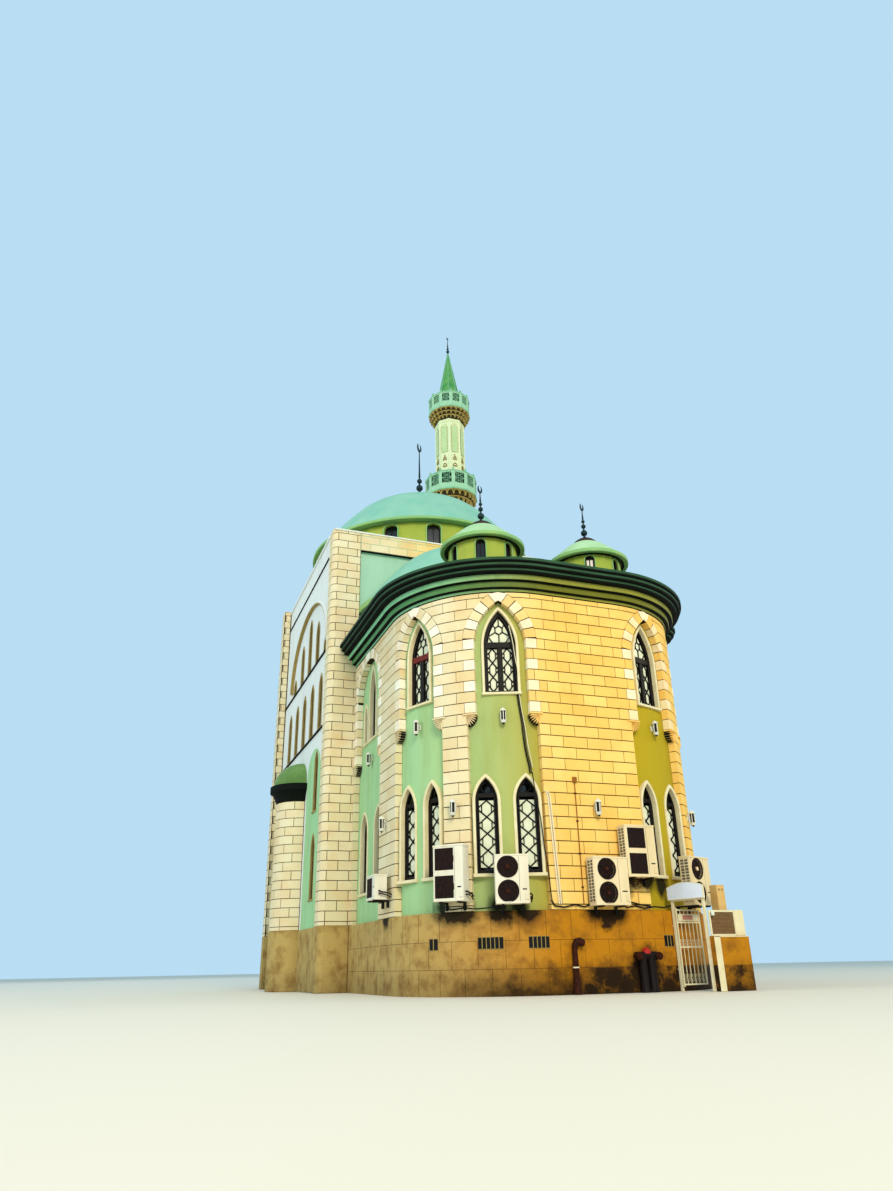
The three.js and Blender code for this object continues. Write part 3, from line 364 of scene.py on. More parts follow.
# Paints, enamels and metals: colour, faded colour, roughness, cloud scale, how faded, metallic, grain and its depth
for row in (
    ("turquoiseDomePaint", "7DB8A0", "9CC8AC", 0.5, 1.1, 0.6, 0, 9, 0.01),
    ("paleGreenDomePaint", "9CC48E", "B9D6A8", 0.5, 1.4, 0.6, 0, 9, 0.01),
    # The near-black soffit green is painted shade on soffits, undersides and hollows
    ("darkGreenPaint", "020603", "061409", 0.8, 2.0, 0.6), ("soffitGreenPaint", "020503", "050D08", 0.8, 2.0, 0.5),
    # The arris green is a painted highlight along the top edges of the dark cornice steps
    ("wornGreenArris", "27482F", "3E6046", 0.7, 2.0, 0.6), ("paleGreenRimPaint", "7DB070", "A0BE6A", 0.5, 1.5, 0.6),
    ("oliveDrumPaint", "94A83E", "B8B850", 0.6, 1.5, 0.6), ("mossGreenDomePaint", "567A3C", "7FA05E", 0.6, 1.5, 0.7),
    # The eave green is painted shade under the dome rims
    ("darkEavePaint", "1C2A14", "2C3C1B", 0.7, 1.5, 0.5), ("brownCapPaint", "2A1C16", "4A3026", 0.5, 4.0, 0.6),
    ("agedBronze", "16282C", "33474A", 0.42, 9.0, 0.6, 0.5), ("greenMinaretPaint", "7DB890", "A4D0AA", 0.5, 2.0, 0.5),
    ("paleShaftPanelPaint", "B4CE94", "CCDFAE", 0.6, 2.0, 0.5),
    ("greenConeSheet", "3F9050", "86B85E", 0.4, 1.6, 0.8, 0.2),
    ("ochreGoldPaint", "A8904A", "CDBB7A", 0.5, 5.0, 0.5), ("creamSurroundPaint", "E6DAB2", "CDB77E", 0.55, 4.0, 0.5),
    ("tanRevealPaint", "A48C50", "7E6630", 0.6, 4.0, 0.5), ("darkWindowFrame", "0C0807", "1A110D", 0.5, 8.0, 0.5),
    ("darkRedPaint", "5E1512", "7A2A20", 0.45, 6.0, 0.5), ("frostedPane", "E8E8CC", "C9CDA4", 0.3, 5.0, 0.6),
    ("blackGrilleSteel", "0E0E0E", "1C1A18", 0.5, 9.0, 0.5), ("paleFanPlastic", "D8D2C2", "B9B09A", 0.4, 9.0, 0.5),
    ("creamGateEnamel", "E6DCB8", "CFBE88", 0.4, 6.0, 0.6), ("bluishPlateEnamel", "DDE6F6", "E9EFF8", 0.4, 6.0, 0.5),
    ("fadedRedPlate", "C4705A", "E0C9B4", 0.5, 6.0, 0.6), ("brownMeshSheet", "8B6A42", "A9865A", 0.7, 12.0, 0.6),
    ("ochreSteelSheet", "D2A864", "E0BE84", 0.5, 4.0, 0.5), ("blackCableSheath", "12100F", "24201D", 0.5, 9.0, 0.4),
    ("creamCableSheath", "E9DDBB", "CDBE95", 0.5, 9.0, 0.4), ("brownConduit", "8A5216", "A86E28", 0.5, 9.0, 0.4),
    ("sootyPipePaint", "0E0706", "22100A", 0.6, 9.0, 0.5), ("redValvePaint", "B3231B", "8A1A14", 0.4, 9.0, 0.4),
    ("rustedSteelPipe", "2A120A", "54240F", 0.7, 14.0, 0.7, 0.3),
    ("varnishedDoorWood", "5A3620", "7A4D2C", 0.4, 6.0, 0.6),
    ("whiteLanternEnamel", "DEDCCC", "BFBCA8", 0.35, 9.0, 0.4),
):
    paintFinish(*row)
# Places of soot and painted shadow on the wall: distance along it, height and radius
plinthFinish("ochrePlinthRender", [
    (4.1, 1.9, 0.4), (6.9, 1.9, 0.5), (7.3, 1.9, 0.45), (8.2, 1.9, 0.5), (8.8, 1.9, 0.55), (10.62, 1.85, 0.42),
    (10.85, 1.65, 0.26), (11.0, 1.8, 0.42), (11.15, 1.9, 0.5), (11.75, 0.45, 0.55), (11.95, 0.6, 0.5),
    (10.95, 0.35, 0.42), (11.25, 0.15, 0.4), (11.75, 0.55, 0.42), (11.95, 0.3, 0.5), (12.5, 0.05, 0.4),
    (10.3, 0.05, 0.35),
])
# Stucco, with soot and painted shadow under the outdoor units at (distance, height, radius)
renderFinish("greenStucco", "A0CE98", "B29A1C", "7E8020", 0.35, -5.2, 0.0, spots=[
    (4.05, 2.0, 0.3), (6.55, 2.0, 0.34), (7.2, 2.02, 0.36), (8.1, 2.0, 0.34), (8.6, 2.0, 0.36), (12.3, 2.6, 0.42),
    (12.9, 2.5, 0.4),
])
# Stone, with soot and painted shadow under and beside the outdoor units at (distance, height, radius)
stoneFinish("creamLimestone", "DCCDA2", "E6DAB6", "F0C060", "F8D074", [
    (11.7, 2.55, 0.36), (12.0, 2.6, 0.4), (12.25, 2.55, 0.36), (10.95, 2.15, 0.16), (8.55, 2.3, 0.2),
])
print("finishes ready")


def paintNodes(names, finish):
    for name in names.split():
        for holder in nodes[name].material_slots:
            holder.material = bpy.data.materials[finish]


# Mesh helpers: a heap gathers closed solids and becomes one piece

def newHeap():
    return {"points": [], "faces": [], "tones": [], "paints": []}


def loft(heap, rings, tone=0.5, paint=0, closed=False):
    # paint is one finish's number, or one for each strip round a ring
    start, count, total = len(heap["points"]), len(rings[0]), len(rings)
    for ring in rings:
        heap["points"] += ring
    faces = []
    for i in range(total if closed else total - 1):
        here, there = start + i * count, start + (i + 1) % total * count
        faces += [(here + k, here + (k + 1) % count, there + (k + 1) % count, there + k) for k in range(count)]
    if not closed:
        last = start + (total - 1) * count
        faces += [tuple(range(start + count - 1, start - 1, -1)), tuple(range(last, last + count))]
    strips = paint if isinstance(paint, list) else [paint]
    heap["faces"] += faces
    heap["tones"] += [tone] * len(faces)
    heap["paints"] += [strips[i % len(strips)] for i in range(len(faces))]


def heapMesh(name, heap, merge=False):
    mesh = bpy.data.meshes.new(name)
    mesh.from_pydata(heap["points"], [], heap["faces"])
    mesh.attributes.new("tone", "FLOAT", "FACE").data.foreach_set("value", heap["tones"])
    mesh.polygons.foreach_set("material_index", heap["paints"])
    work = bmesh.new()
    work.from_mesh(mesh)
    if merge:
        bmesh.ops.remove_doubles(work, verts=work.verts, dist=1e-5)
    bmesh.ops.recalc_face_normals(work, faces=work.faces)
    work.to_mesh(mesh)
    work.free()
    return mesh


def smoothMesh(mesh, angle):
    if angle:
        mesh.shade_smooth()
        mesh.set_sharp_from_angle(angle=math.radians(angle))


def placePiece(name, mesh, slotName, smooth, body="building"):
    smoothMesh(mesh, smooth)
    piece = addObject(name, mesh)
    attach(piece, body)
    return piece


def finishPiece(name, heap, finishes, slotName, smooth=None, stands=(), body="building", merge=False):
    mesh = heapMesh(name, heap, merge)
    for label in finishes.split():
        mesh.materials.append(bpy.data.materials[label])
    piece = placePiece(name, mesh, slotName, smooth, body)
    if stands:
        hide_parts(*stands)
    return piece


def newHeaps():
    return defaultdict(newHeap)


def finishHeaps(heaps, slotName, smooth=None, **finishes):
    # One piece for each named heap
    for name, finish in finishes.items():
        finishPiece(name, heaps[name], finish, slotName, smooth)


def bakeMesh(item):
    # The plain mesh that an object's modifiers make
    bpy.context.view_layer.update()
    mesh = bpy.data.meshes.new_from_object(item.evaluated_get(bpy.context.evaluated_depsgraph_get()))
    item.modifiers.clear()
    return mesh


def cutPiece(piece, cutters, smooth=None):
    # Cuts a heap of closed solids out of a piece
    cutter = addObject("cutters", heapMesh("cutters", cutters))
    modifier = piece.modifiers.new("cut", "BOOLEAN")
    modifier.operation = "DIFFERENCE"
    modifier.solver = "EXACT"
    modifier.object = cutter
    piece.data = bakeMesh(piece)
    smoothMesh(piece.data, smooth)
    bpy.data.objects.remove(cutter)


def addBlock(heap, mapper, low, high, z0, z1, back, face, edge=0.006, tone=0.5, paint=0, span=0.3):
    # A block between two heights, with slanted ends where low and high differ, and a chamfered face
    width = max(low[1] - low[0], high[1] - high[0], 0.001)
    steps = max(1, math.ceil(width / span))
    inset = min(0.45, edge / width)
    stops = [0.0, inset] + [i / steps for i in range(1, steps)] + [1 - inset, 1.0]
    drop = edge if (z1 - z0) > 3 * edge else (z1 - z0) / 3
    rings = []
    for i, t in enumerate(stops):
        ub, ut = (ends[0] + (ends[1] - ends[0]) * t for ends in (low, high))
        top = face - edge if i in (0, len(stops) - 1) else face
        corners = ((ub, back, z0), (ub, face - edge, z0), (ub, top, z0 + drop),
                   (ut, top, z1 - drop), (ut, face - edge, z1), (ut, back, z1))
        rings.append([mapper(*corner) for corner in corners])
    loft(heap, rings, tone, paint)


def addSlab(heap, mapper, start, end, *sizes, **more):
    addBlock(heap, mapper, (start, end), (start, end), *sizes, **more)


def addStud(heap, mapper, middle, half, *sizes, **more):
    addSlab(heap, mapper, middle - half, middle + half, *sizes, **more)


def addBar(heap, mapper, start, end, width, back, face):
    # Flat bar between two points of a wall's own plane
    du, dz = end[0] - start[0], end[1] - start[1]
    size = math.hypot(du, dz) or 1
    pu, pz = -dz / size * width / 2, du / size * width / 2
    corners = ((-1, back), (1, back), (0.7, face), (-0.7, face))
    loft(heap, [[mapper(u + pu * k, out, z + pz * k) for k, out in corners] for u, z in (start, end)])


def addTube(heap, path, radius, sides=8, paint=0):
    # Round tube along world points
    points = [Vector(p) for p in path]
    rings = []
    side = None
    for i, point in enumerate(points):
        ahead = (points[min(i + 1, len(points) - 1)] - points[max(i - 1, 0)]).normalized()
        if side is None:
            side = ahead.cross(Vector((0, 0, 1)) if abs(ahead.z) < 0.9 else Vector((1, 0, 0))).normalized()
        side = (side - ahead * side.dot(ahead)).normalized()
        size = radius[i] if isinstance(radius, list) else radius
        up = ahead.cross(side)
        spokes = (polar(1, 2 * math.pi * k / sides) for k in range(sides))
        rings.append([point + (side * a + up * b) * size for a, b in spokes])
    loft(heap, rings, paint=paint)


def turnShape(heap, profile, centre, segments, start=0.0, sweep=360.0, paint=0, squash=1.0):
    # Closed profile of (radius, height) turned about an upright axis, all the way or part of it
    full = sweep >= 359.9
    rings = []
    for i in range(segments if full else segments + 1):
        x, y = polar(1, math.radians(start + sweep * i / segments))
        rings.append([site(centre[0] + r * x, centre[1] + r * y * squash, z) for r, z in profile])
    loft(heap, rings, 0.5, paint, full)


def rounded(profile, steps=4):
    # Catmull-Rom curve through a profile's points
    result = []
    for i in range(len(profile) - 1):
        p0, p1, p2, p3 = (profile[max(0, min(len(profile) - 1, i + k))] for k in (-1, 0, 1, 2))
        for t in (s / steps for s in range(steps)):
            result.append(tuple(
                0.5 * (2 * p1[k] + (p2[k] - p0[k]) * t + (2 * p0[k] - 5 * p1[k] + 4 * p2[k] - p3[k]) * t ** 2
                       + (3 * p1[k] - p0[k] - 3 * p2[k] + p3[k]) * t ** 3) for k in (0, 1)))
    return result + [tuple(profile[-1])]


def archOutline(arch, offset=0.0, steps=10):
    # Pointed arch of (half width, sill, spring, apex), from its right foot over the apex, grown by an offset
    half, sill, spring, apex = arch
    radius = (half ** 2 + (apex - spring) ** 2) / (2 * half)
    sweep = math.acos(max(-1, min(1, (radius - half) / (radius + offset))))
    points = [(half + offset, sill)]
    points += [polar(radius + offset, sweep * i / steps, half - radius, spring) for i in range(steps + 1)]
    return points + [(-u, z) for u, z in reversed(points[:-1])]


def archHalf(arch, z, offset=0.0):
    half, _, spring, apex = arch
    if z <= spring:
        return half + offset
    radius = (half ** 2 + (apex - spring) ** 2) / (2 * half)
    inside = (radius + offset) ** 2 - (z - spring) ** 2
    return max(0.0, half - radius + math.sqrt(inside)) if inside > 0 else 0.0


def addArchFrame(heap, mapper, arch, inner, outer, back, face, centre=0.0, steps=10, edge=0.01):
    rings = []
    for (iu, iz), (ou, oz) in zip(archOutline(arch, inner, steps), archOutline(arch, outer, steps)):
        size = math.hypot(ou - iu, oz - iz) or 1
        cu, cz = (ou - iu) / size * edge, (oz - iz) / size * edge
        corners = ((iu, back, iz), (ou, back, oz), (ou, face - edge, oz),
                   (ou - cu, face, oz - cz), (iu + cu, face, iz + cz), (iu, face - edge, iz))
        rings.append([mapper(centre + u, out, z) for u, out, z in corners])
    loft(heap, rings)


def addArchSheet(heap, mapper, arch, back, face, centre=0.0, steps=10, offset=0.0):
    addSheet(heap, mapper, [(centre + u, z) for u, z in archOutline(arch, offset, steps)], back, face)


def addSheet(heap, mapper, outline, back, face, tone=0.5):
    loft(heap, [[mapper(u, out, z) for u, z in outline] for out in (back, face)], tone)


# Repeats made with Geometry Nodes

def repeatTree(name, ring):
    # One template along a straight row, or around an upright ring
    tree = bpy.data.node_groups.new(name, "GeometryNodeTree")
    tree.interface.new_socket("Geometry", in_out="OUTPUT", socket_type="NodeSocketGeometry")
    for label, kind in (("Template", "Object"), ("Count", "Int"), ("Start", "Vector"), ("Step", "Vector"),
                        ("Radius", "Float"), ("Turn", "Float"), ("Finish", "Material")):
        tree.interface.new_socket(label, in_out="INPUT", socket_type="NodeSocket" + kind)
    entry = addNode(tree, "NodeGroupInput").outputs
    source = addNode(tree, "GeometryNodeObjectInfo", {"Object": entry["Template"]}).outputs["Geometry"]
    line = {"Count": entry["Count"], "Start Location": entry["Start"], "Offset": (0, 0, 0) if ring else entry["Step"]}
    points = addNode(tree, "GeometryNodeMeshLine", line, mode="OFFSET").outputs["Mesh"]
    angle = entry["Turn"]
    if ring:
        share = calc(tree, "DIVIDE", addNode(tree, "GeometryNodeInputIndex").outputs[0], entry["Count"])
        angle = calc(tree, "MULTIPLY_ADD", share, 2 * math.pi, angle)
        arm = addNode(tree, "ShaderNodeCombineXYZ", {"X": entry["Radius"]}).outputs[0]
        sockets = {"Vector": arm, "Angle": angle}
        reach = addNode(tree, "ShaderNodeVectorRotate", sockets, rotation_type="Z_AXIS").outputs[0]
        points = addNode(tree, "GeometryNodeSetPosition", {"Geometry": points, "Offset": reach}).outputs["Geometry"]
    heading = addNode(tree, "ShaderNodeCombineXYZ", {"Z": angle}).outputs[0]
    copies = addNode(tree, "GeometryNodeInstanceOnPoints", {"Points": points, "Instance": source, "Rotation": heading})
    realized = addNode(tree, "GeometryNodeRealizeInstances", {"Geometry": copies.outputs["Instances"]})
    sockets = {"Geometry": realized.outputs["Geometry"], "Material": entry["Finish"]}
    addNode(tree, "NodeGroupOutput", {0: addNode(tree, "GeometryNodeSetMaterial", sockets).outputs["Geometry"]})
    return tree


rowTree = repeatTree("rowOfCopies", False)
ringTree = repeatTree("ringOfCopies", True)


def repeatPiece(name, template, tree, finish, slotName, smooth=None, **values):
    # template is a heap about the origin; the result is a plain mesh piece
    pattern = addObject(name + "Template", heapMesh(name + "Template", template))
    holder = addObject(name + "Holder", bpy.data.meshes.new(name + "Holder"))
    modifier = holder.modifiers.new("repeat", "NODES")
    modifier.node_group = tree
    values.update(Template=pattern, Finish=bpy.data.materials[finish])
    for item in tree.interface.items_tree:
        if item.in_out == "INPUT" and item.name in values:
            modifier[item.identifier] = values[item.name]
    result = bakeMesh(holder)
    bpy.data.objects.remove(pattern)
    bpy.data.objects.remove(holder)
    result.name = name
    return placePiece(name, result, slotName, smooth)


# The hall's bays, stonework, plinth, wall and windows

def sweepWall(heap, profile, margin, step=0.16):
    # A profile of (out, height) swept along the whole wall
    length = wallLength - 2 * margin
    count = math.ceil(length / step)
    loft(heap, [[onWall(margin + length * i / count, out, z) for out, z in profile] for i in range(count + 1)])


niche = {"corbelFoot": 6.45, "corbelTop": 6.8, "spring": 8.75, "apex": 10.0, "ring": 0.31}
# Each kind of window: its sill, spring and apex, then its trim, measured from the opening and the wall's face
windowKinds = {
    "low": {"heights": (2.74, 4.5, 5.12), "grow": 0.07, "proud": 0.03, "lip": 0.1, "sill": (-0.08, 0.0),
            "sillProud": 0.07, "frameWidth": 0.055, "frameFace": -0.11},
    "high": {"heights": (7.38, 8.7, 9.79), "grow": 0.065, "proud": 0.035, "lip": 0.085, "sill": (-0.06, 0.005),
             "sillProud": 0.06, "frameWidth": 0.1, "frameFace": -0.1},
}
windowKinds["side"] = {**windowKinds["high"], "heights": (7.38, 8.15, 8.64)}
sideLight = {"half": 0.2, "spread": 0.8}
leftBays = [
    {"at": 1.68, "lights": 3, "lowHalf": 1.55, "highHalf": 1.3,
     "lowSpread": 0.8, "lowWidth": 0.39, "highWidth": 0.36},
    {"at": 5.78, "lights": 1, "lowHalf": 0.97, "highHalf": 0.72,
     "lowSpread": 0.48, "lowWidth": 0.285, "highWidth": 0.44},
    {"at": 8.45, "lights": 1, "lowHalf": 0.96, "highHalf": 0.725,
     "lowSpread": 0.52, "lowWidth": 0.295, "highWidth": 0.45},
]
bays = leftBays + [{**bay, "at": wallLength - bay["at"]} for bay in reversed(leftBays)]


def toRun(bay, u):
    # Distance along the wall that lies at u on the bay's own plane
    if min(bay["at"], wallLength - bay["at"]) < sideLength:
        return bay["at"] + u
    return bay["at"] + hall["cornerRadius"] * math.asin(max(-1, min(1, u / hall["cornerRadius"])))


def alongBay(bay, hand=1):
    return lambda u, out, z: onWall(toRun(bay, hand * u), out, z)


def bayWindows(bay):
    # Kind, arch and middle of each window
    rows = [("low", bay["lowWidth"], side * bay["lowSpread"]) for side in (-1, 1)] + [("high", bay["highWidth"], 0.0)]
    if bay["lights"] == 3:
        rows += [("side", sideLight["half"], side * sideLight["spread"]) for side in (-1, 1)]
    return [(kind, (half, *windowKinds[kind]["heights"]), centre) for kind, half, centre in rows]


def nicheHalf(bay, z):
    # Half width of a niche at a height: wide at the foot, narrower over the corbels, then an arch
    foot, top = niche["corbelFoot"], niche["corbelTop"]
    if z < foot:
        return bay["lowHalf"]
    if z < top:
        wave = 0.5 + 0.5 * math.cos(math.pi * (z - foot) / (top - foot))
        return bay["highHalf"] + (bay["lowHalf"] - bay["highHalf"]) * wave
    return archHalf((bay["highHalf"], top, niche["spring"], niche["apex"]), z, niche["ring"] if z >= 8.9 else 0.0)


masonry = {"course": 0.3, "firstJoint": 2.0, "block": 0.72, "joint": 0.022, "upright": 0.013, "proud": 0.016,
           "quoin": 0.3, "turned": 0.176, "wedges": 5}
fan = {"ribs": 6, "hub": 6.735, "depth": 0.172, "proud": 0.05}


def grainTone(row, place):
    # A tone for each stone, scattered but the same at every run
    return (math.sin(row * 12.9898 + place * 78.233) * 43758.5453) % 1


def addCourse(heaps, course, foot, top):
    # One course of the hall's facing, cut at the niches, with white quoins beside them in every second course
    z0, z1 = foot + masonry["joint"] / 2, top - masonry["joint"] / 2
    if z1 - z0 < 0.03:
        return
    edges = [(0.01, 0.01)]
    edges += [tuple(toRun(bay, hand * nicheHalf(bay, z)) for z in (z0, z1)) for bay in bays for hand in (-1, 1)]
    edges.append((wallLength - 0.01, wallLength - 0.01))
    block, quoin, side = masonry["block"], masonry["quoin"], masonry["upright"] / 2
    quoined = niche["corbelTop"] - 0.01 < foot and top < 8.95 and round((foot - 6.8) / masonry["course"]) % 2 == 0
    offset = 0.36 if course % 2 else 0.0
    for k in range(0, len(edges), 2):
        start, end = edges[k:k + 2]
        leftOpen, rightOpen = k > 0, k < len(edges) - 2
        cuts = [start]
        if quoined and leftOpen:
            cuts.append((start[0] + quoin,) * 2)
        last = end[0] - quoin if quoined and rightOpen else min(end)
        number = math.floor((max(cuts[-1]) + 0.14 - offset) / block) + 1
        while offset + number * block < last - 0.14:
            cuts.append((offset + number * block,) * 2)
            number += 1
        if quoined and rightOpen:
            cuts.append((last, last))
        cuts.append(end)
        for i, (here, there) in enumerate(zip(cuts, cuts[1:])):
            turnsLeft, turnsRight = i == 0 and leftOpen, i == len(cuts) - 2 and rightOpen
            left, right = -0.004 if turnsLeft else side, 0.004 if turnsRight else -side
            low, high = ((a + left, b + right) for a, b in zip(here, there))
            if min(low[1] - low[0], high[1] - high[0]) < 0.01:
                continue
            turned = turnsLeft or turnsRight
            name, proud, edge = ("whiteQuoins", 0.014, 0.01) if quoined and turned else ("stoneBlocks", 0, 0.006)
            addBlock(heaps[name], onWall, low, high, z0, z1, -masonry["turned"] if turned else -0.03,
                     masonry["proud"] + proud, edge, grainTone(course, here[0]))


def addWedges(heaps, bay):
    # Wedge stones round an arch, white and cream in turn, with a white keystone
    half, rise = bay["highHalf"], niche["apex"] - niche["spring"]
    radius = (half ** 2 + rise ** 2) / (2 * half)
    first, last = math.asin(0.15 / radius), math.asin(min(1.0, rise / radius)) - 0.11 / radius
    count = masonry["wedges"] + (2 if half > 1 else 0)
    share, joint = (last - first) / count, 0.013 / radius
    near, far, crown = radius - 0.013, radius + niche["ring"] - 0.018, hall["wallTop"] - 0.004

    def archSpot(r, a):
        u, z = polar(r, a, half - radius, niche["spring"])
        return u, min(z, crown)

    for hand in (-1, 1):
        mapper = alongBay(bay, hand)
        for i in range(count):
            a0, a1 = first + share * i + joint, first + share * (i + 1) - joint
            proud = masonry["proud"] + (0.014 if i % 2 else 0.004)
            section = ((near, -masonry["turned"]), (far, -0.03), (far, proud), (near, proud))
            rings = []
            for a in (a0, (a0 + a1) / 2, a1):
                rings.append([mapper(u, out, z) for (u, z), out in ((archSpot(r, a), out) for r, out in section)])
            loft(heaps["whiteQuoins" if i % 2 else "stoneBlocks"], rings, (0.5 + 0.17 * i) % 1)
    inner, outer = (archSpot(r, last + 0.0025) for r in (radius, radius + niche["ring"]))
    outline = [(0, niche["apex"]), inner, outer, (0, crown)] + [(-u, z) for u, z in (outer, inner)]
    addSheet(heaps["whiteQuoins"], alongBay(bay), outline, -masonry["turned"], masonry["proud"] + 0.016, 0.8)


def addFan(heaps, bay, hand):
    # Fan shell under a jamb, over the wider foot of the niche, with a flat moulding on top and a near-black sheet of
    # painted shade behind the ribs
    mapper = alongBay(bay, hand)
    hub, radius = bay["lowHalf"] + 0.015, bay["lowHalf"] - bay["highHalf"] + 0.03
    for k in range(fan["ribs"]):
        a0, a1 = (math.radians(90 * (k + share) / fan["ribs"]) for share in (0.26, 0.64))
        middle = (a0 + a1) / 2
        outline = [(0.12, middle), (0.6, a0), (0.96, a0), (1.03, middle), (0.96, a1), (0.6, a1)]
        rings = []
        for out, size in ((-fan["depth"], 1.0), (fan["proud"] - 0.02, 1.0), (fan["proud"], 0.93)):
            ring = [(polar(-radius * r * size, a, hub, fan["hub"]), 0.012 if r < 0.2 else 0) for r, a in outline]
            rings.append([mapper(u, out - sunk, z) for (u, z), sunk in ring])
        loft(heaps["fanCorbels"], rings)
    # A near-black sheet of painted shade behind the ribs, reaching just past their ends
    back = [(hub, fan["hub"])] + [polar(-radius * 1.02, math.pi / 16 * k, hub, fan["hub"]) for k in range(9)]
    addSheet(heaps["corbelHollows"], mapper, back, 0.005 - fan["depth"], -0.03)
    run = sorted(toRun(bay, hand * u) for u in (bay["highHalf"] - 0.03, bay["lowHalf"] + 0.09))
    addSlab(heaps["fanCorbels"], onWall, *run, 6.752, 6.79, -fan["depth"], 0.06, 0.008, 0.7)


def buildStonework():
    heaps = newHeaps()
    joints = [hall["plinthTop"]]
    while joints[-1] < hall["wallTop"] - 0.02:
        reached = masonry["firstJoint"] + masonry["course"] * (len(joints) - 1)
        joints.append(min(reached, hall["wallTop"]))
    for course, (foot, top) in enumerate(zip(joints, joints[1:])):
        addCourse(heaps, course, foot, top)
    for bay in bays:
        addWedges(heaps, bay)
        for hand in (-1, 1):
            addFan(heaps, bay, hand)
    finishHeaps(heaps, "stone", stoneBlocks="creamLimestone", whiteQuoins="whiteLimestone",
                fanCorbels="creamLimestone", corbelHollows="soffitGreenPaint")
    # The facings show in the joints as dark mortar with painted shade
    paintNodes("stone_facing_left stone_facing_front stone_facing_right", "darkMortar")
    print("stonework done")


def buildPlinth():
    heaps = newHeaps()
    proud, top = hall["plinthProud"], hall["plinthTop"]
    profile = [(wallBack, 0.0), (proud, 0.0), (proud, top - 0.03), (proud - 0.012, top - 0.008), (proud - 0.035, top),
               (wallBack, top)]
    sweepWall(heaps["plinthSkin"], profile, hall["gap"])
    finishPiece("plinthSkin", heaps["plinthSkin"], "ochrePlinthRender", "painted_plinth", 30,
                ["hall_plinth_left", "hall_plinth_front", "hall_plinth_right"])
    # Fine joints between the slabs, and barred vents
    for row, (foot, head) in enumerate(((0.0, 0.58), (0.58, 1.2), (1.2, 1.86))):
        if foot:
            groove = [(0.03, foot - 0.004), (0.0412, foot - 0.004), (0.0412, foot + 0.003), (0.03, foot + 0.003)]
            sweepWall(heaps["plinthJoints"], groove, 0.01)
        for k in range(1, int(wallLength / 0.66)):
            s = 0.66 * (k + (0.5 if row % 2 else 0.0))
            addStud(heaps["plinthJoints"], onWall, s, 0.0035, foot + 0.004, head - 0.004, 0.03, 0.0412, 0.0008, span=1)
    bars = heaps["plinthVentBars"]
    for start, end in ((6.3, 6.55), (7.6, 8.2), (8.8, 9.3), (12.5, 12.8)):
        addSlab(heaps["plinthVents"], onWall, start, end, 1.02, 1.28, 0.03, 0.043, 0.001)
        count = max(2, round((end - start) / 0.1))
        for i in range(1, count):
            addStud(bars, onWall, start + (end - start) * i / count, 0.009, 1.02, 1.28, 0.035, 0.056, 0.003)
        for z in (1.01, 1.275):
            addSlab(bars, onWall, start - 0.01, end + 0.01, z, z + 0.014, 0.035, 0.05, 0.003)
    finishHeaps(heaps, "painted_plinth", plinthJoints="darkMortar", plinthVents="blackGrilleSteel",
                plinthVentBars="tanRevealPaint")
    print("plinth done")


def buildStucco():
    # Curved wall behind the niches, cut through for the windows
    heap, cutters = newHeap(), newHeap()
    face, foot, top = wallFace - hall["gap"], hall["plinthTop"] + hall["gap"], hall["wallTop"]
    sweepWall(heap, [(wallBack, foot), (face, foot), (face, top), (wallBack, top)], hall["gap"], 0.2)
    stands = ["hall_wall_left", "hall_wall_front", "hall_wall_right"]
    wall = finishPiece("stuccoWall", heap, "greenStucco", "stucco", stands=stands)
    for bay in bays:
        for _, arch, centre in bayWindows(bay):
            addArchSheet(cutters, flatAt(*wallSpot(bay["at"])), arch, -0.9, 0.3, centre, steps=6)
    cutPiece(wall, cutters, 25)
    print("stucco done")


def addLattice(heap, mapper, left, right, foot, top, rows, bar, face=-0.145):
    # Tall hexagons in a stack, with arms that cross between them and reach the sides
    centre, reach, tall = (left + right) / 2, (right - left) / 2, (top - foot) / rows
    for k in range(rows):
        z0, z1 = foot + tall * k, foot + tall * (k + 1)
        for side in (-1, 1):
            edge, pinch = centre + side * reach, centre + side * 0.64 * reach
            for a, b, width in (((centre, z0), (edge, z0 + tall * 0.26 / 0.64), bar),
                                ((pinch, z0 + tall * 0.26), (pinch, z1 - tall * 0.26), bar * 0.8),
                                ((edge, z1 - tall * 0.26 / 0.64), (centre, z1), bar)):
                addBar(heap, mapper, a, b, width, -0.172, face)


def addTracery(heap, mapper, arch, band):
    # A hexagon over the transom, with arms to the frame
    heart = band + 0.55
    angles = [math.radians(60 * k + 30) for k in range(6)]
    corners = [(0.115 * math.cos(a), heart + 0.13 * math.sin(a)) for a in angles]
    for k, a in enumerate(angles):
        addBar(heap, mapper, corners[k], corners[(k + 1) % 6], 0.04, -0.172, -0.145)
        u, z = 0.5 * math.cos(a), heart + 0.42 * math.sin(a)
        limit = archHalf(arch, z) - 0.07
        if abs(u) > limit:
            u = math.copysign(max(limit, 0.02), u)
        addBar(heap, mapper, corners[k], (u, max(z, band + 0.16)), 0.036, -0.172, -0.145)
    for side in (-1, 1):
        addBar(heap, mapper, (side * 0.16, band + 0.15), (side * 0.3, band + 0.36), 0.034, -0.172, -0.145)


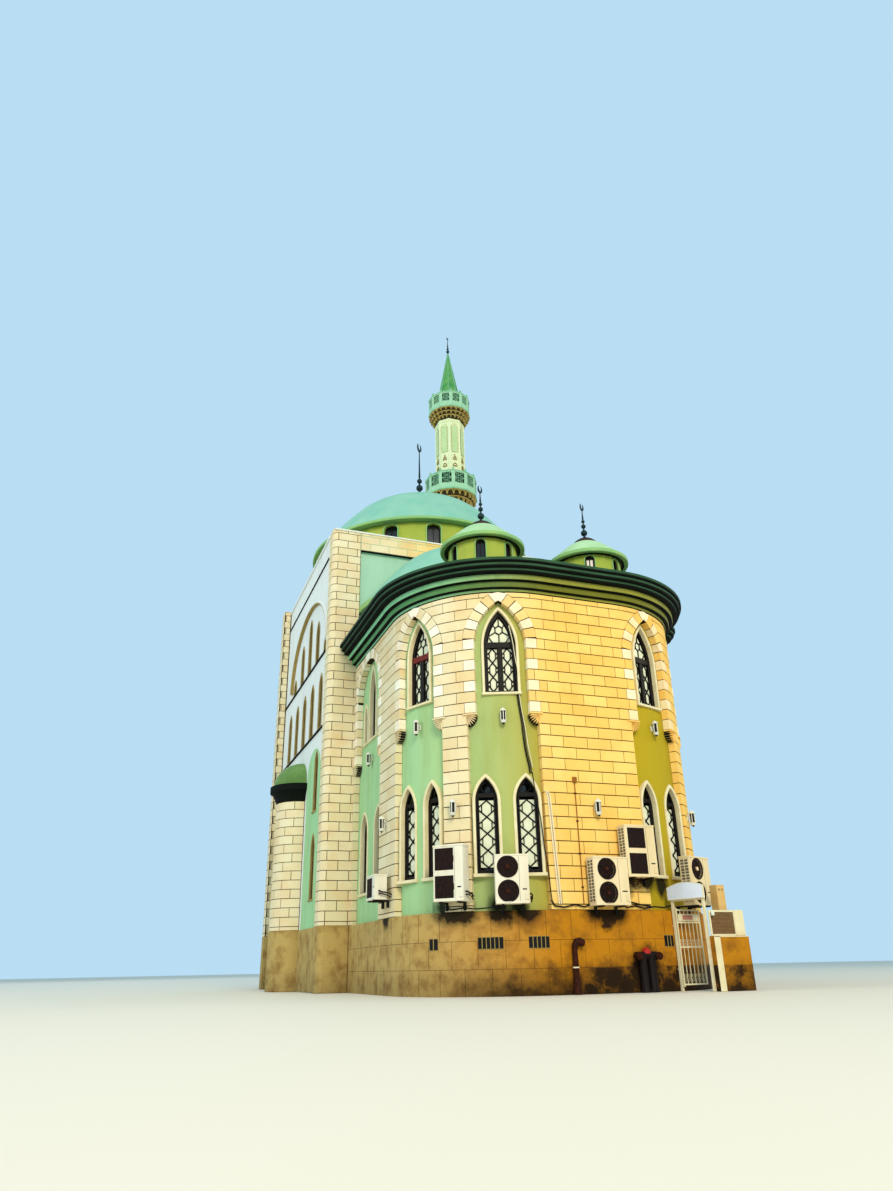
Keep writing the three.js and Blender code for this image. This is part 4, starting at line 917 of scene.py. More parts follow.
def addWindow(heaps, mapper, kind, arch, sag, transom):
    # The mapper starts at the window's middle and at the wall's face
    half, sill, spring, apex = arch
    trim = windowKinds[kind]
    frames, panes, bars = (heaps[name] for name in ("windowFrames", "windowPanes", "windowLattice"))
    surround = (half, sill - 0.02, spring, apex)
    addArchFrame(heaps["windowSurrounds"], mapper, surround, -0.006, trim["grow"], -0.12 + sag, trim["proud"])
    addStud(heaps["windowSurrounds"], mapper, 0, half + trim["lip"], sill + trim["sill"][0], sill + trim["sill"][1],
            -0.3, trim["sillProud"], 0.008)
    addArchFrame(frames, mapper, arch, -trim["frameWidth"], 0.004, -0.2, trim["frameFace"])
    if kind == "side":
        addArchSheet(panes, mapper, (half, sill + 0.02, spring, apex), -0.19, -0.17, offset=-0.06)
        addLattice(bars, mapper, 0.07 - half, half - 0.07, sill + 0.06, spring + 0.1, 3, 0.018, -0.15)
    elif kind == "high":
        band = 8.69
        addStud(heaps[transom], mapper, 0, half - 0.05, band, band + 0.17, -0.2, -0.09, 0.008)
        addStud(frames, mapper, 0, 0.065, sill, band + 0.01, -0.2, -0.1, 0.008)
        addStud(frames, mapper, 0, half - 0.02, sill + 0.005, sill + 0.08, -0.2, -0.1, 0.006)
        for side in (-1, 1):
            addStud(frames, mapper, side * (half - 0.0825), 0.0225, sill + 0.05, band, -0.2, -0.105, 0.004)
            inner, outer = sorted((side * 0.075, side * (half - 0.115)))
            addSlab(panes, mapper, inner, outer, sill + 0.07, band - 0.01, -0.19, -0.17, 0.001)
            addLattice(bars, mapper, inner, outer, sill + 0.08, band, 3, 0.042)
        addArchSheet(panes, mapper, (half, band + 0.2, spring, apex), -0.19, -0.17, offset=-0.13)
        addTracery(bars, mapper, arch, band)
    else:
        for low, high in ((4.62, 4.73), (sill + 0.005, sill + 0.1)):
            addStud(frames, mapper, 0, half - 0.03, low, high, -0.2, -0.11, 0.006)
        addStud(panes, mapper, 0, half - 0.1, 2.9, 4.55, -0.19, -0.17, 0.001)
        for side in (-1, 1):
            addStud(frames, mapper, side * (half - 0.085), 0.02, sill + 0.05, 4.65, -0.2, -0.12, 0.004)
        addLattice(bars, mapper, 0.1 - half, half - 0.1, 2.9, 4.55, 4, 0.038)
        addLattice(bars, mapper, 0.12 - half, half - 0.12, 4.74, 5.0, 1, 0.02, -0.15)


def buildWindows():
    heaps = newHeaps()
    for number, bay in enumerate(bays):
        x, y, nx, ny = wallSpot(bay["at"])
        sag = -0.03 if min(bay["at"], wallLength - bay["at"]) > sideLength else 0.0
        transom = "windowTransom" if number == 1 else "windowFrames"
        for kind, arch, centre in bayWindows(bay):
            mapper = flatAt(x - ny * centre + nx * wallFace, y + nx * centre + ny * wallFace, nx, ny)
            addWindow(heaps, mapper, kind, arch, sag, transom)
    finishHeaps(heaps, "stone", windowSurrounds="creamSurroundPaint")
    finishHeaps(heaps, "window_glass", windowFrames="darkWindowFrame", windowTransom="darkRedPaint",
                windowPanes="frostedPane", windowLattice="darkWindowFrame")
    paintNodes("hall_lower_glazing hall_upper_glazing", "tintedGlass")
    print("windows done")


# Cornice, which returns round the side pier

pier = {"proud": 0.51, "from": 3.2, "to": 4.1, "corner": 0.23}


def boxDistance(x, y, x0, x1, y0, y1, radius):
    # Signed distance to a rounded rectangle
    cx, cy, hx, hy = (x0 + x1) / 2, (y0 + y1) / 2, (x1 - x0) / 2 - radius, (y1 - y0) / 2 - radius
    dx, dy = abs(x - cx) - hx, abs(y - cy) - hy
    return math.hypot(max(dx, 0), max(dy, 0)) + min(max(dx, dy), 0) - radius


def cornicePlan(reach, count=420):
    # Plan line at a reach from the wall, found by halving along rays from inside the hall
    w, heart, back = hall["halfWidth"] + reach, (0.0, 3.65), hall["length"] - hall["gap"]
    start = math.pi - math.atan2(back - heart[1], w)
    end = 2 * math.pi + math.atan2(back - heart[1], w)
    corner = pier["corner"] + max(reach, -0.2)
    plan = []
    for i in range(count + 1):
        a = start + (end - start) * i / count
        low, high = 0.0, 9.0
        for _ in range(34):
            middle = (low + high) / 2
            x, y = polar(middle, a, *heart)
            inHall = boxDistance(x, y, -w, w, -reach, 20.0, hall["cornerRadius"] + reach) < 0 and y < back
            inPier = boxDistance(x, y, -w, w + pier["proud"], pier["from"] - reach, pier["to"] + reach, corner) < 0
            low, high = (middle, high) if inHall or inPier else (low, middle)
        plan.append(polar(low, a, *heart))
    return plan


def buildCornice():
    # Stacked mouldings of (reach, top, finish), each with a soffit and rounded lower edge in painted shade, and on the
    # dark steps a painted highlight along the top arris
    low, last = hall["wallTop"] + hall["gap"], -0.25
    profile, paints = [(last, low)], []
    for reach, high, paint in ((0.05, 10.34, 2), (0.17, 10.52, 3), (0.3, 10.69, 2), (0.46, 10.81, 0), (0.56, 10.94, 0),
                               (0.62, 11.08, 0)):
        roll, arris = min(0.05, (high - low) * 0.4), paint or 4
        profile += [(last + 0.004, low), (reach - roll, low), (reach - roll * 0.3, low + roll * 0.3),
                    (reach, low + roll), (reach, high - 0.012), (reach - 0.02, high)]
        # Soffit and roll in painted shade; the top arris of the dark steps in a painted highlight
        paints += [1, 1, min(paint, 1), paint, arris, arris]
        low, last = high, reach - 0.02
    profile.append((-0.25, low))
    heap = newHeap()
    plans = {reach: cornicePlan(reach) for reach, _ in profile}
    rings = [[site(*plans[reach][i], z) for reach, z in profile] for i in range(len(plans[-0.25]))]
    loft(heap, rings, paint=paints + [0, 0])
    heap["paints"][-2:] = [0, 0]
    finishes = "darkGreenPaint soffitGreenPaint lightGreenPaint midGreenPaint wornGreenArris"
    finishPiece("corniceMouldings", heap, finishes, "dark_green_paint", 35, ["hall_cornice"])
    print("cornice done")


# Domes, drums and finials

domeCurve = [(1, 0), (0.975, 0.022), (0.95, 0.06), (0.893, 0.194), (0.824, 0.322), (0.727, 0.51), (0.586, 0.735),
             (0.414, 0.89), (0.222, 0.975), (0, 1)]
smallDomeAt = (1.87, 2.31)
smallSkin = [(1.33, 12.68), (1.27, 12.71), (1.144, 12.83), (0.904, 13.05), (0.612, 13.3), (0.39, 13.43)]
smallCap = [(0.4, 13.42), (0.4, 13.47), (0.3, 13.57), (0.14, 13.67), (0.045, 13.72)]
smallUnder = [(1.33, 12.58), (1.31, 12.56), (1.2, 12.56), (1.19, 12.59), (0.95, 12.59), (0.94, 12.56), (0.93, 12.7),
              (0.7, 13.0), (0.3, 13.24), (0, 13.3)]


def finishDome(name, heap, finishes, stand):
    finishPiece(name, heap, finishes, "turquoise_render", 40, [stand], merge=True)


def buildDome(name, stand, rim, foot, top, apex, inner, shell, under, paints, *turn):
    # From the apex outside, over the flared rim, through the parts under it and up to the apex inside
    heap = newHeap()
    outside = [(max(0.0, r * rim), top + z * (apex - top)) for r, z in reversed(rounded(domeCurve, 3))]
    lip = [(rim, foot + 0.02), (rim - 0.02, foot), (rim - 0.1, foot), (rim - 0.13, foot + 0.03)]
    inside = [(inner * r, foot + 0.04 + (apex - shell - foot - 0.04) * z) for r, z in domeCurve]
    paints = [0] * (len(outside) - 4) + [1] * (4 + len(lip)) + paints + [3] * len(inside)
    turnShape(heap, outside + lip + under + inside, *turn[:-1], paints, turn[-1])
    finishDome(name, heap, "turquoiseDomePaint paleGreenRimPaint darkEavePaint oliveDrumPaint", stand)


def addFinial(heap, x, y, foot, top, width, balls, crescent, turn, paint=0):
    # Stem with balls of (height, size) as shares, and an upright crescent
    height, crescentFoot = top - foot, foot + (top - foot) * crescent
    profile = [(0, foot), (width * 0.7, foot), (width * 0.5, foot + height * 0.02)]
    for share, size in balls:
        ball, middle = size * width, foot + height * share
        profile.append((ball * 0.3, middle - ball * 1.15))
        for degrees in range(-70, 71, 20):
            r, z = polar(ball, math.radians(degrees), 0, middle)
            profile.append((max(r, ball * 0.28), z))
        profile.append((ball * 0.3, middle + ball * 1.15))
    last = balls[-1][0]
    profile += [(width * 0.3, foot + height * (last + 0.07)), (width * 0.258, foot + height * (last + 0.12)),
                (width * 0.16, foot + height * (crescent - 0.1)), (width * 0.14, crescentFoot + width * 0.25),
                (0, crescentFoot + width * 0.25)]
    rising = [b for a, b in zip(profile, profile[1:]) if b[1] > a[1] - 1e-6 or 0 in (a[0], b[0])]
    turnShape(heap, profile[:1] + rising, (x, y), 18, paint=paint)
    ring = top - crescentFoot
    path, sizes = [], []
    for i in range(25):
        a = math.radians(118 + 304 * i / 24)
        reach = polar(0.33 * ring * math.cos(a), turn, x, y)
        path.append(site(*reach, crescentFoot + ring * (0.52 + 0.44 * math.sin(a))))
        sizes.append(max(0.008, width * 0.3 * math.sin(math.pi * (i + 0.6) / 25.2) ** 0.7))
    addTube(heap, path, sizes, paint=paint)


def buildDrumLights(name, centre, radius, count, arch, deep, thick, proud, sillProud):
    # Arched lights round a drum
    half, sill, _, apex = arch
    ring = {"Count": count, "Start": site(*centre, 0), "Radius": radius, "Turn": math.pi / count - math.pi / 2}
    heaps = newHeaps()
    panes, frames, surrounds = (heaps[part] for part in ("Panes", "Frames", "Surrounds"))
    addArchSheet(panes, ringPoint, (half, sill - 0.01, *arch[2:]), -deep, -deep + 0.02, steps=4, offset=-0.004)
    addArchFrame(frames, ringPoint, arch, -0.05, -0.004, -deep + 0.02, -deep + 0.07, steps=4, edge=0.006)
    addStud(frames, ringPoint, 0, 0.015, sill, apex - 0.03, -deep + 0.02, -deep + 0.05, 0.004)
    addArchFrame(surrounds, ringPoint, arch, 0.0, thick, -0.06, proud, steps=5, edge=0.006)
    addStud(surrounds, ringPoint, 0, half + 0.07, sill - 0.06, sill - 0.002, -0.08, sillProud, 0.006)
    for part, finish, slotName in (("Panes", "tintedGlass", "window_glass"),
                                   ("Frames", "darkWindowFrame", "window_glass"),
                                   ("Surrounds", "paleGreenRimPaint", "yellow_green_render")):
        repeatPiece(name + part, heaps[part], ringTree, finish, slotName, **ring)


def buildDomes():
    # Paint 2 under each rim is painted shade on the eave
    eave = [(4.4, 17.65), (4.395, 17.62)]
    buildDome("mainDomeSkin", "main_dome", 4.95, 17.62, 17.74, 20.88, 4.39, 0.2, eave, [2, 2], domeAt, 96, 0, 360, 1.0)
    drum = [(3.95, 12.38), (3.95, 10.5009), (3.75, 10.5009), (3.75, 12.3)]
    buildDome("halfDomeSkin", "semi_dome", 4.45, 12.35, 12.56, 15.37, 3.75, 0.18, drum, [2, 3, 3, 3], (0, 7.7594), 56,
              180, 180, 0.82)
    heap = newHeap()
    addFinial(heap, *domeAt, 20.8803, 24.6, 0.17, [(0.06, 0.9), (0.175, 0.8), (0.305, 0.98), (0.41, 0.74)], 0.87, 0.75)
    turnShape(heap, [(0, 20.8803), (0.21, 20.8803), (0.2, 20.93), (0.12, 20.97), (0, 20.97)], domeAt, 24)
    finishPiece("mainFinial", heap, "agedBronze", "dark_bronze", 40, ["main_finial"], merge=True)
    for name, side in (("left", -1), ("right", 1)):
        centre = (side * smallDomeAt[0], smallDomeAt[1])
        skin, cap, heap = rounded(smallSkin), rounded(smallCap, 3), newHeap()
        # The underside under the rim, paint 3, is in painted shade
        paints = [2] * (len(cap) + 1) + [0] * (len(skin) - 4) + [1] * 6 + [3] * 8
        turnShape(heap, [(0, 13.72)] + cap[::-1] + skin[::-1] + smallUnder, centre, 64, paint=paints)
        addFinial(heap, *centre, 13.7, 15.035, 0.11, [(0.14, 1.0), (0.33, 0.72), (0.47, 0.55)], 0.79, 0.55, 4)
        finishes = "paleGreenDomePaint paleGreenRimPaint brownCapPaint darkEavePaint agedBronze"
        finishDome(f"smallDomeSkin_{name}", heap, finishes, f"small_dome_{name}")
        small = ((0.15, 11.75, 12.39, 12.53), 0.12, 0.03, 0.018, 0.03)
        buildDrumLights(f"smallDrum{name.capitalize()}", centre, 1.07, 7, *small)
    buildDrumLights("mainDrum", domeAt, 4.6, 16, (0.29, 16.25, 17.35, 17.58), 0.2, 0.05, 0.03, 0.05)
    paintNodes("main_drum small_drum_left small_drum_right", "oliveDrumPaint")
    print("domes done")


# The block, its piers and facades

def pathWall(points):
    # Mapper along a plan line, outward to the right of the way it runs
    runs = [0.0]
    for a, b in zip(points, points[1:]):
        runs.append(runs[-1] + math.dist(a, b))
    normals = []
    for i in range(len(points)):
        a, b = points[max(i - 1, 0)], points[min(i + 1, len(points) - 1)]
        size = math.dist(a, b)
        normals.append(((b[1] - a[1]) / size, -(b[0] - a[0]) / size))

    def mapper(s, out, z):
        i = 0
        while i < len(points) - 2 and s > runs[i + 1]:
            i += 1
        t = (s - runs[i]) / (runs[i + 1] - runs[i])
        (ax, ay), (bx, by), (an, am), (bn, bm) = points[i], points[i + 1], normals[i], normals[i + 1]
        nx, ny = an + (bn - an) * t, am + (bm - am) * t
        size = math.hypot(nx, ny)
        return site(ax + (bx - ax) * t + nx / size * out, ay + (by - ay) * t + ny / size * out, z)

    return mapper, runs[-1]


def cornerArc(cx, cy, radius, start, end, steps=6):
    return [polar(radius, math.radians(start + (end - start) * i / steps), cx, cy) for i in range(steps + 1)]


def addCourses(heap, mapper, length, foot, top, block, proud=0.014, margin=0.004):
    # Coursed blocks on a path, with joints of 20 mm and levels shared by the whole building
    course, joint = masonry["course"], 0.02
    levels = [0.2 + course * k for k in range(math.ceil((foot - 0.2) / course - 1e-6), 200)]
    levels = [foot] + [z for z in levels if foot + 0.05 < z < top - 0.05] + [top]
    for z0, z1 in zip(levels, levels[1:]):
        row = round((z0 - 0.2) / course)
        cuts, stop = [margin], block / 2 if row % 2 else block
        while stop < length - 0.12:
            if stop > cuts[-1] + 0.12:
                cuts.append(stop)
            stop += block
        cuts.append(length - margin)
        for a, b in zip(cuts, cuts[1:]):
            addSlab(heap, mapper, a + joint / 2, b - joint / 2, z0 + joint / 2, z1 - joint / 2, -0.02, proud, 0.006,
                    grainTone(row, a), span=0.12)


facade = {"x": 5.45, "centre": 11.91, "pitch": 1.46, "half": 0.27, "tops": [11.9, 12.93, 13.54, 12.93, 11.9],
          "rise": 0.48, "recess": 0.11, "blockTop": 15.655}
apse = {"at": (-5.4503, 11.81), "radius": 0.85}


def facadeWindows():
    # Middle, arch and depth of each window of a facade
    rows = []
    for i, apex in enumerate(facade["tops"]):
        y = facade["centre"] + (i - 2) * facade["pitch"]
        rows += [(y, 11.14, apex, -facade["recess"]), (y, 8.35, 10.35, 0.0)]
    for sill, apex in ((2.73, 4.79), (5.56, 7.61)):
        rows += [(facade["centre"] + side * 2.74, sill, apex, 0.0) for side in (-1, 1)]
    return [(y, (facade["half"], sill, apex - facade["rise"], apex), sunk) for y, sill, apex, sunk in rows]


def addPlinthRun(heaps, mapper, start, end, span=4, foot=0.002):
    addSlab(heaps["blockPlinth"], mapper, start, end, foot, hall["plinthTop"], -0.02, 0.03, 0.012, span=span)


def addLines(heaps, mapper, start, end, levels, span):
    # Coping, and dark lines of painted shadow of (foot, top, out) under it
    addSlab(heaps["copingBands"], mapper, start, end, 15.56, 15.658, -0.02, 0.05, 0.008, span=span)
    for low, high, out in levels:
        addSlab(heaps["darkSillLines"], mapper, start, end, low, high, -0.02, out, 0.008, span=span)


def addFacadeWindow(heaps, mapper, y, arch, sunk):
    half, sill, spring, apex = arch
    reveals, bars = heaps["facadeReveals"], heaps["facadeBars"]
    addArchFrame(reveals, mapper, arch, -0.035, 0.05, sunk - 0.12, sunk + 0.02, y, 6, 0.006)
    addStud(reveals, mapper, y, 0.34, sill - 0.05, sill + 0.002, sunk - 0.2, sunk + 0.05, 0.006)
    addArchFrame(heaps["facadeFrames"], mapper, arch, -0.08, -0.03, sunk - 0.1, sunk - 0.05, y, 6, 0.005)
    addArchSheet(heaps["facadePanes"], mapper, arch, sunk - 0.1, sunk - 0.08, y, 6, -0.03)
    addStud(bars, mapper, y, 0.015, sill, apex - 0.08, sunk - 0.085, sunk - 0.05, 0.004)
    levels = max(2, round((spring - sill) / 0.55))
    for k in range(1, levels + 1):
        z = sill + (spring - sill) * k / levels
        addStud(bars, mapper, y, 0.22, z - 0.015, z + 0.015, sunk - 0.085, sunk - 0.05, 0.004)


def buildFacade(heaps, side):
    # Coping, sill lines of painted shadow, a moulded arch over the top row with a tan line of painted shadow inside it,
    # lined windows and a coloured field round the lowest ones
    mapper = lambda u, out, z: site(side * (facade["x"] + out), u, z)
    middle, start, end = facade["centre"], 8.42, 16.35 if side > 0 else 16.34
    addLines(heaps, mapper, start, end, ((14.7, 14.76, 0.04), (11.02, 11.09, 0.05), (8.26, 8.33, 0.05)), 4)
    arc = [(3.5 * math.cos(math.pi * k / 24), 2.53 * math.sin(math.pi * k / 24)) for k in range(25)]
    # The white moulded arch, then a tan line of painted shadow along its recessed edge just inside it
    for name, wide, tall, width, back, face in (("copingBands", 1, 1, 0.07, -0.02, 0.03),
                                                ("facadeReveals", 0.985, 0.982, 0.05, 0.002 - facade["recess"], 0.026)):
        outline = [(middle + u * wide, 11.47 + z * tall) for u, z in arc]
        for a, b in zip(outline, outline[1:]):
            addBar(heaps[name], mapper, a, b, width, back, face)
    for window in facadeWindows():
        addFacadeWindow(heaps, mapper, *window)
    for place, centre in (("front", middle - 2.35), ("rear", middle + 2.35)):
        field, cutters = newHeap(), newHeap()
        outline = [(1.08 * math.cos(math.pi * k / 16), 6.9 + 0.85 * math.sin(math.pi * k / 16)) for k in range(17)]
        outline = [(centre + u, z) for u, z in [(1.08, 0.01)] + outline + [(-1.08, 0.01)]]
        addSheet(field, mapper, outline, -0.004, 0.012)
        for y, arch, _ in facadeWindows():
            if abs(y - centre) < 1:
                addArchSheet(cutters, mapper, arch, -0.4, 0.3, y, 6)
        name, finish = ("left", "greenStucco") if side < 0 else ("right", "paleGreenPanelRender")
        cutPiece(finishPiece(f"greenField_{name}_{place}", field, finish, "stucco"), cutters)
    gapStart, gapEnd = (10.95, 12.67) if side < 0 else (10.8, 13.02)  # The apse, or the entrance
    for run in ((start, gapStart), (gapEnd, end)):
        addPlinthRun(heaps, mapper, *run, foot=0.012)


def buildApse(heaps):
    # Coursed stone, a moulded cornice and a half dome
    path, length = pathWall(cornerArc(*apse["at"], apse["radius"], 270, 90, 36))
    mapper = lambda s, out, z: path(length - s, -out, z)
    addCourses(heaps["apseStones"], mapper, length, hall["plinthTop"], 6.19, 0.66, margin=0.01)
    addPlinthRun(heaps, mapper, 0.01, length - 0.01, 0.1)
    moulding, dome = newHeap(), newHeap()
    profile = [(0, 6.2003), (0.87, 6.2003), (0.9, 6.26), (0.91, 6.3), (1.0, 6.47), (1.04, 6.53), (1.12, 6.58),
               (1.12, 6.79), (1.1, 6.8), (0, 6.8)]
    # The moulding's undersides are in painted shade
    turnShape(moulding, profile, apse["at"], 40, 90, 180, [1, 0, 0, 0, 0, 1, 0, 0, 0, 0])
    finishPiece("apseMoulding", moulding, "darkGreenPaint soffitGreenPaint", "dark_green_paint", 35, ["apse_cornice"],
                merge=True)
    shell = [(math.cos(a), 6.8003 + 0.9 * math.sin(a)) for a in (math.pi / 28 * k for k in range(15))]
    shell += [(0.9 * math.cos(a), 6.8003 + 0.8 * math.sin(a)) for a in (math.pi / 20 * k for k in range(10, -1, -1))]
    turnShape(dome, [(max(0, r), z) for r, z in shell], apse["at"], 40, 90, 180)
    finishDome("apseDomeSkin", dome, "mossGreenDomePaint", "apse_dome")


def buildEntrance(heaps):
    # Panelled pair of doors with a stone surround and handles
    mapper = lambda u, out, z: site(facade["x"] + out, facade["centre"] + u, z)
    panels, handles, trim = (heaps[name] for name in ("entrancePanels", "entranceHandles", "entranceSurround"))
    for side in (-1, 1):
        for low, high in ((0.62, 1.12), (1.2, 1.7), (1.78, 2.6)):
            addStud(panels, mapper, side * 0.42, 0.28, low, high, -0.15, -0.105, 0.02)
        path = ((-0.1, 1.3), (-0.05, 1.34), (-0.05, 1.66), (-0.1, 1.7))
        addTube(handles, [mapper(side * 0.1, out, z) for out, z in path], 0.012, 10)
        addStud(trim, mapper, side * 1.0025, 0.0975, 0.0, 2.93, -0.02, 0.07, 0.012)
    addStud(panels, mapper, 0, 0.02, 0.32, 2.85, -0.12, -0.08, 0.008)
    addStud(trim, mapper, 0, 1.1, 2.93, 3.15, -0.02, 0.1, 0.012)
    finishHeaps(heaps, "door_wood", entrancePanels="varnishedDoorWood")
    finishPiece("entranceHandles", handles, "agedBronze", "dark_bronze", 40)
    finishHeaps(heaps, "stone", entranceSurround="whiteLimestone")
    paintNodes("entrance_door", "varnishedDoorWood")


def buildBlock():
    heaps = newHeaps()
    top, blockTop = hall["plinthTop"], facade["blockTop"]
    paintNodes("front_pier_left front_pier_right rear_pier_left rear_pier_right side_pier apse_wall", "darkMortar")
    paintNodes("block_left_wall block_left_panel block_right_wall block_right_panel block_back_wall", "whiteWallRender")
    paintNodes("minaret_base", "whiteWallRender")
    paintNodes("block_front_wall", "paleGreenPanelRender")
    paintNodes("hall_floor hall_upper_floor hall_roof", "plainConcrete")
    paintNodes("block_floor block_first_floor block_second_floor block_roof", "plainConcrete")
    left = [(-5.46, 8.389)] + cornerArc(-5.26, 7.96, 0.2, 180, 270) + [(-4.431, 7.76)]
    right = [(-x, y) for x, y in reversed(left)]
    sidePier = [(4.482, 3.2)] + cornerArc(4.76, 3.43, 0.23, -90, 0)
    sidePier += cornerArc(4.76, 3.87, 0.23, 0, 90) + [(4.482, 4.1)]
    rearLeft = [(-4.63, 16.96), (-5.75, 16.96), (-5.75, 16.3605), (-5.46, 16.3605)]
    rearRight = [(5.46, 16.3605), (5.75, 16.3605), (5.75, 16.96), (5.46, 16.96)]
    # Each run of stones: its plan, foot, top and block length, and the start, end margin and span of its plinth
    for plan, foot, head, block, proud, margin, plinth in (
        (left, top, blockTop, 0.72, 0.014, 0.004, (0.004, 0.1, 0.1)),
        (right, top, blockTop, 0.72, 0.014, 0.004, (0.004, 0.1, 0.1)),
        ([(-4.43, 7.76), (4.43, 7.76)], 14.9, blockTop, 0.72, 0.014, 0.004, None),
        (sidePier, top, 10.24, 0.6, 0.014, 0.004, (0.06, 0.06, 0.06)),
        (rearLeft, top, blockTop, 0.6, 0.01, 0.02, (0.02, 0.02, 0.1)),
        (rearRight, top, blockTop, 0.6, 0.01, 0.02, (0.02, 0.02, 0.1)),
    ):
        mapper, length = pathWall(plan)
        addCourses(heaps["pierStones"], mapper, length, foot, head, block, proud, margin)
        if plinth:
            addPlinthRun(heaps, mapper, plinth[0], length - plinth[1], plinth[2])
    for plan in (left + [(-4.431, 8.389)], right + [(4.431, 8.389)],
                 [(-5.75, 16.36), (-4.62, 16.36), (-4.62, 16.96), (-5.75, 16.96)],
                 [(5.45, 16.36), (5.75, 16.36), (5.75, 16.96), (5.45, 16.96)]):
        loft(heaps["pierCaps"], [[site(x, y, z) for x, y in plan] for z in (15.6604, 15.685)])
    buildApse(heaps)
    for side in (-1, 1):
        buildFacade(heaps, side)
    front = lambda u, out, z: site(u, 7.76 - out, z)
    # A dark line of painted shadow under the front's coping
    addStud(heaps["darkSillLines"], front, 0, 4.42, 14.845, 14.895, -0.05, 0.03, 0.006, span=4)
    addStud(heaps["copingBands"], front, 0, 5.4, 15.6, 15.658, -0.02, 0.05, 0.008, span=4)
    # Rear wall, rear wing and the minaret's base
    rear, wing = flatAt(0, 19.1, 0, 1), flatAt(-4.62, 0, -1, 0)
    levels = ((14.7, 14.76, 0.04), (11.02, 11.09, 0.04), (8.26, 8.33, 0.04), (5.4, 5.47, 0.04))
    addLines(heaps, rear, -2.9, 4.62, levels, 6)
    addLines(heaps, wing, -19.1, -16.98, levels, 6)
    for mapper, start, end in ((rear, -2.9, 4.62), (wing, -19.1, -17.0), (flatAt(5.03, 0, 1, 0), 19.1, 21.238),
                               (flatAt(0, 21.21, 0, 1), -5.058, -2.902), (flatAt(2.93, 0, -1, 0), -21.238, -19.14)):
        addPlinthRun(heaps, mapper, start, end, 6)
    finishHeaps(heaps, "stone", pierStones="creamLimestone", pierCaps="creamLimestone", apseStones="creamLimestone")
    finishHeaps(heaps, "painted_plinth", blockPlinth="ochrePlinthRender")
    finishHeaps(heaps, "white_render", copingBands="whiteWallRender", facadeReveals="tanRevealPaint")
    finishHeaps(heaps, "dark_green_paint", darkSillLines="darkGreenPaint")
    finishHeaps(heaps, "window_glass", facadeFrames="darkWindowFrame", facadePanes="tintedGlass",
                facadeBars="darkWindowFrame")
    buildEntrance(heaps)
    print("block done")


# Minaret

minaret = {"at": (3.98, 20.16), "shaft": 0.85}
balconies = {
    "lower": {"corbel": 24.4, "deck": 25.5, "top": 26.62, "radius": 1.5},
    "upper": {"corbel": 30.6, "deck": 31.33, "top": 32.32, "radius": 1.24},
}


def ringRound(name, heap, count, radius, turn, finish, smooth=None):
    ring = {"Count": count, "Start": site(*minaret["at"], 0), "Radius": radius, "Turn": turn}
    repeatPiece(name, heap, ringTree, finish, "pale_green_render", smooth, **ring)


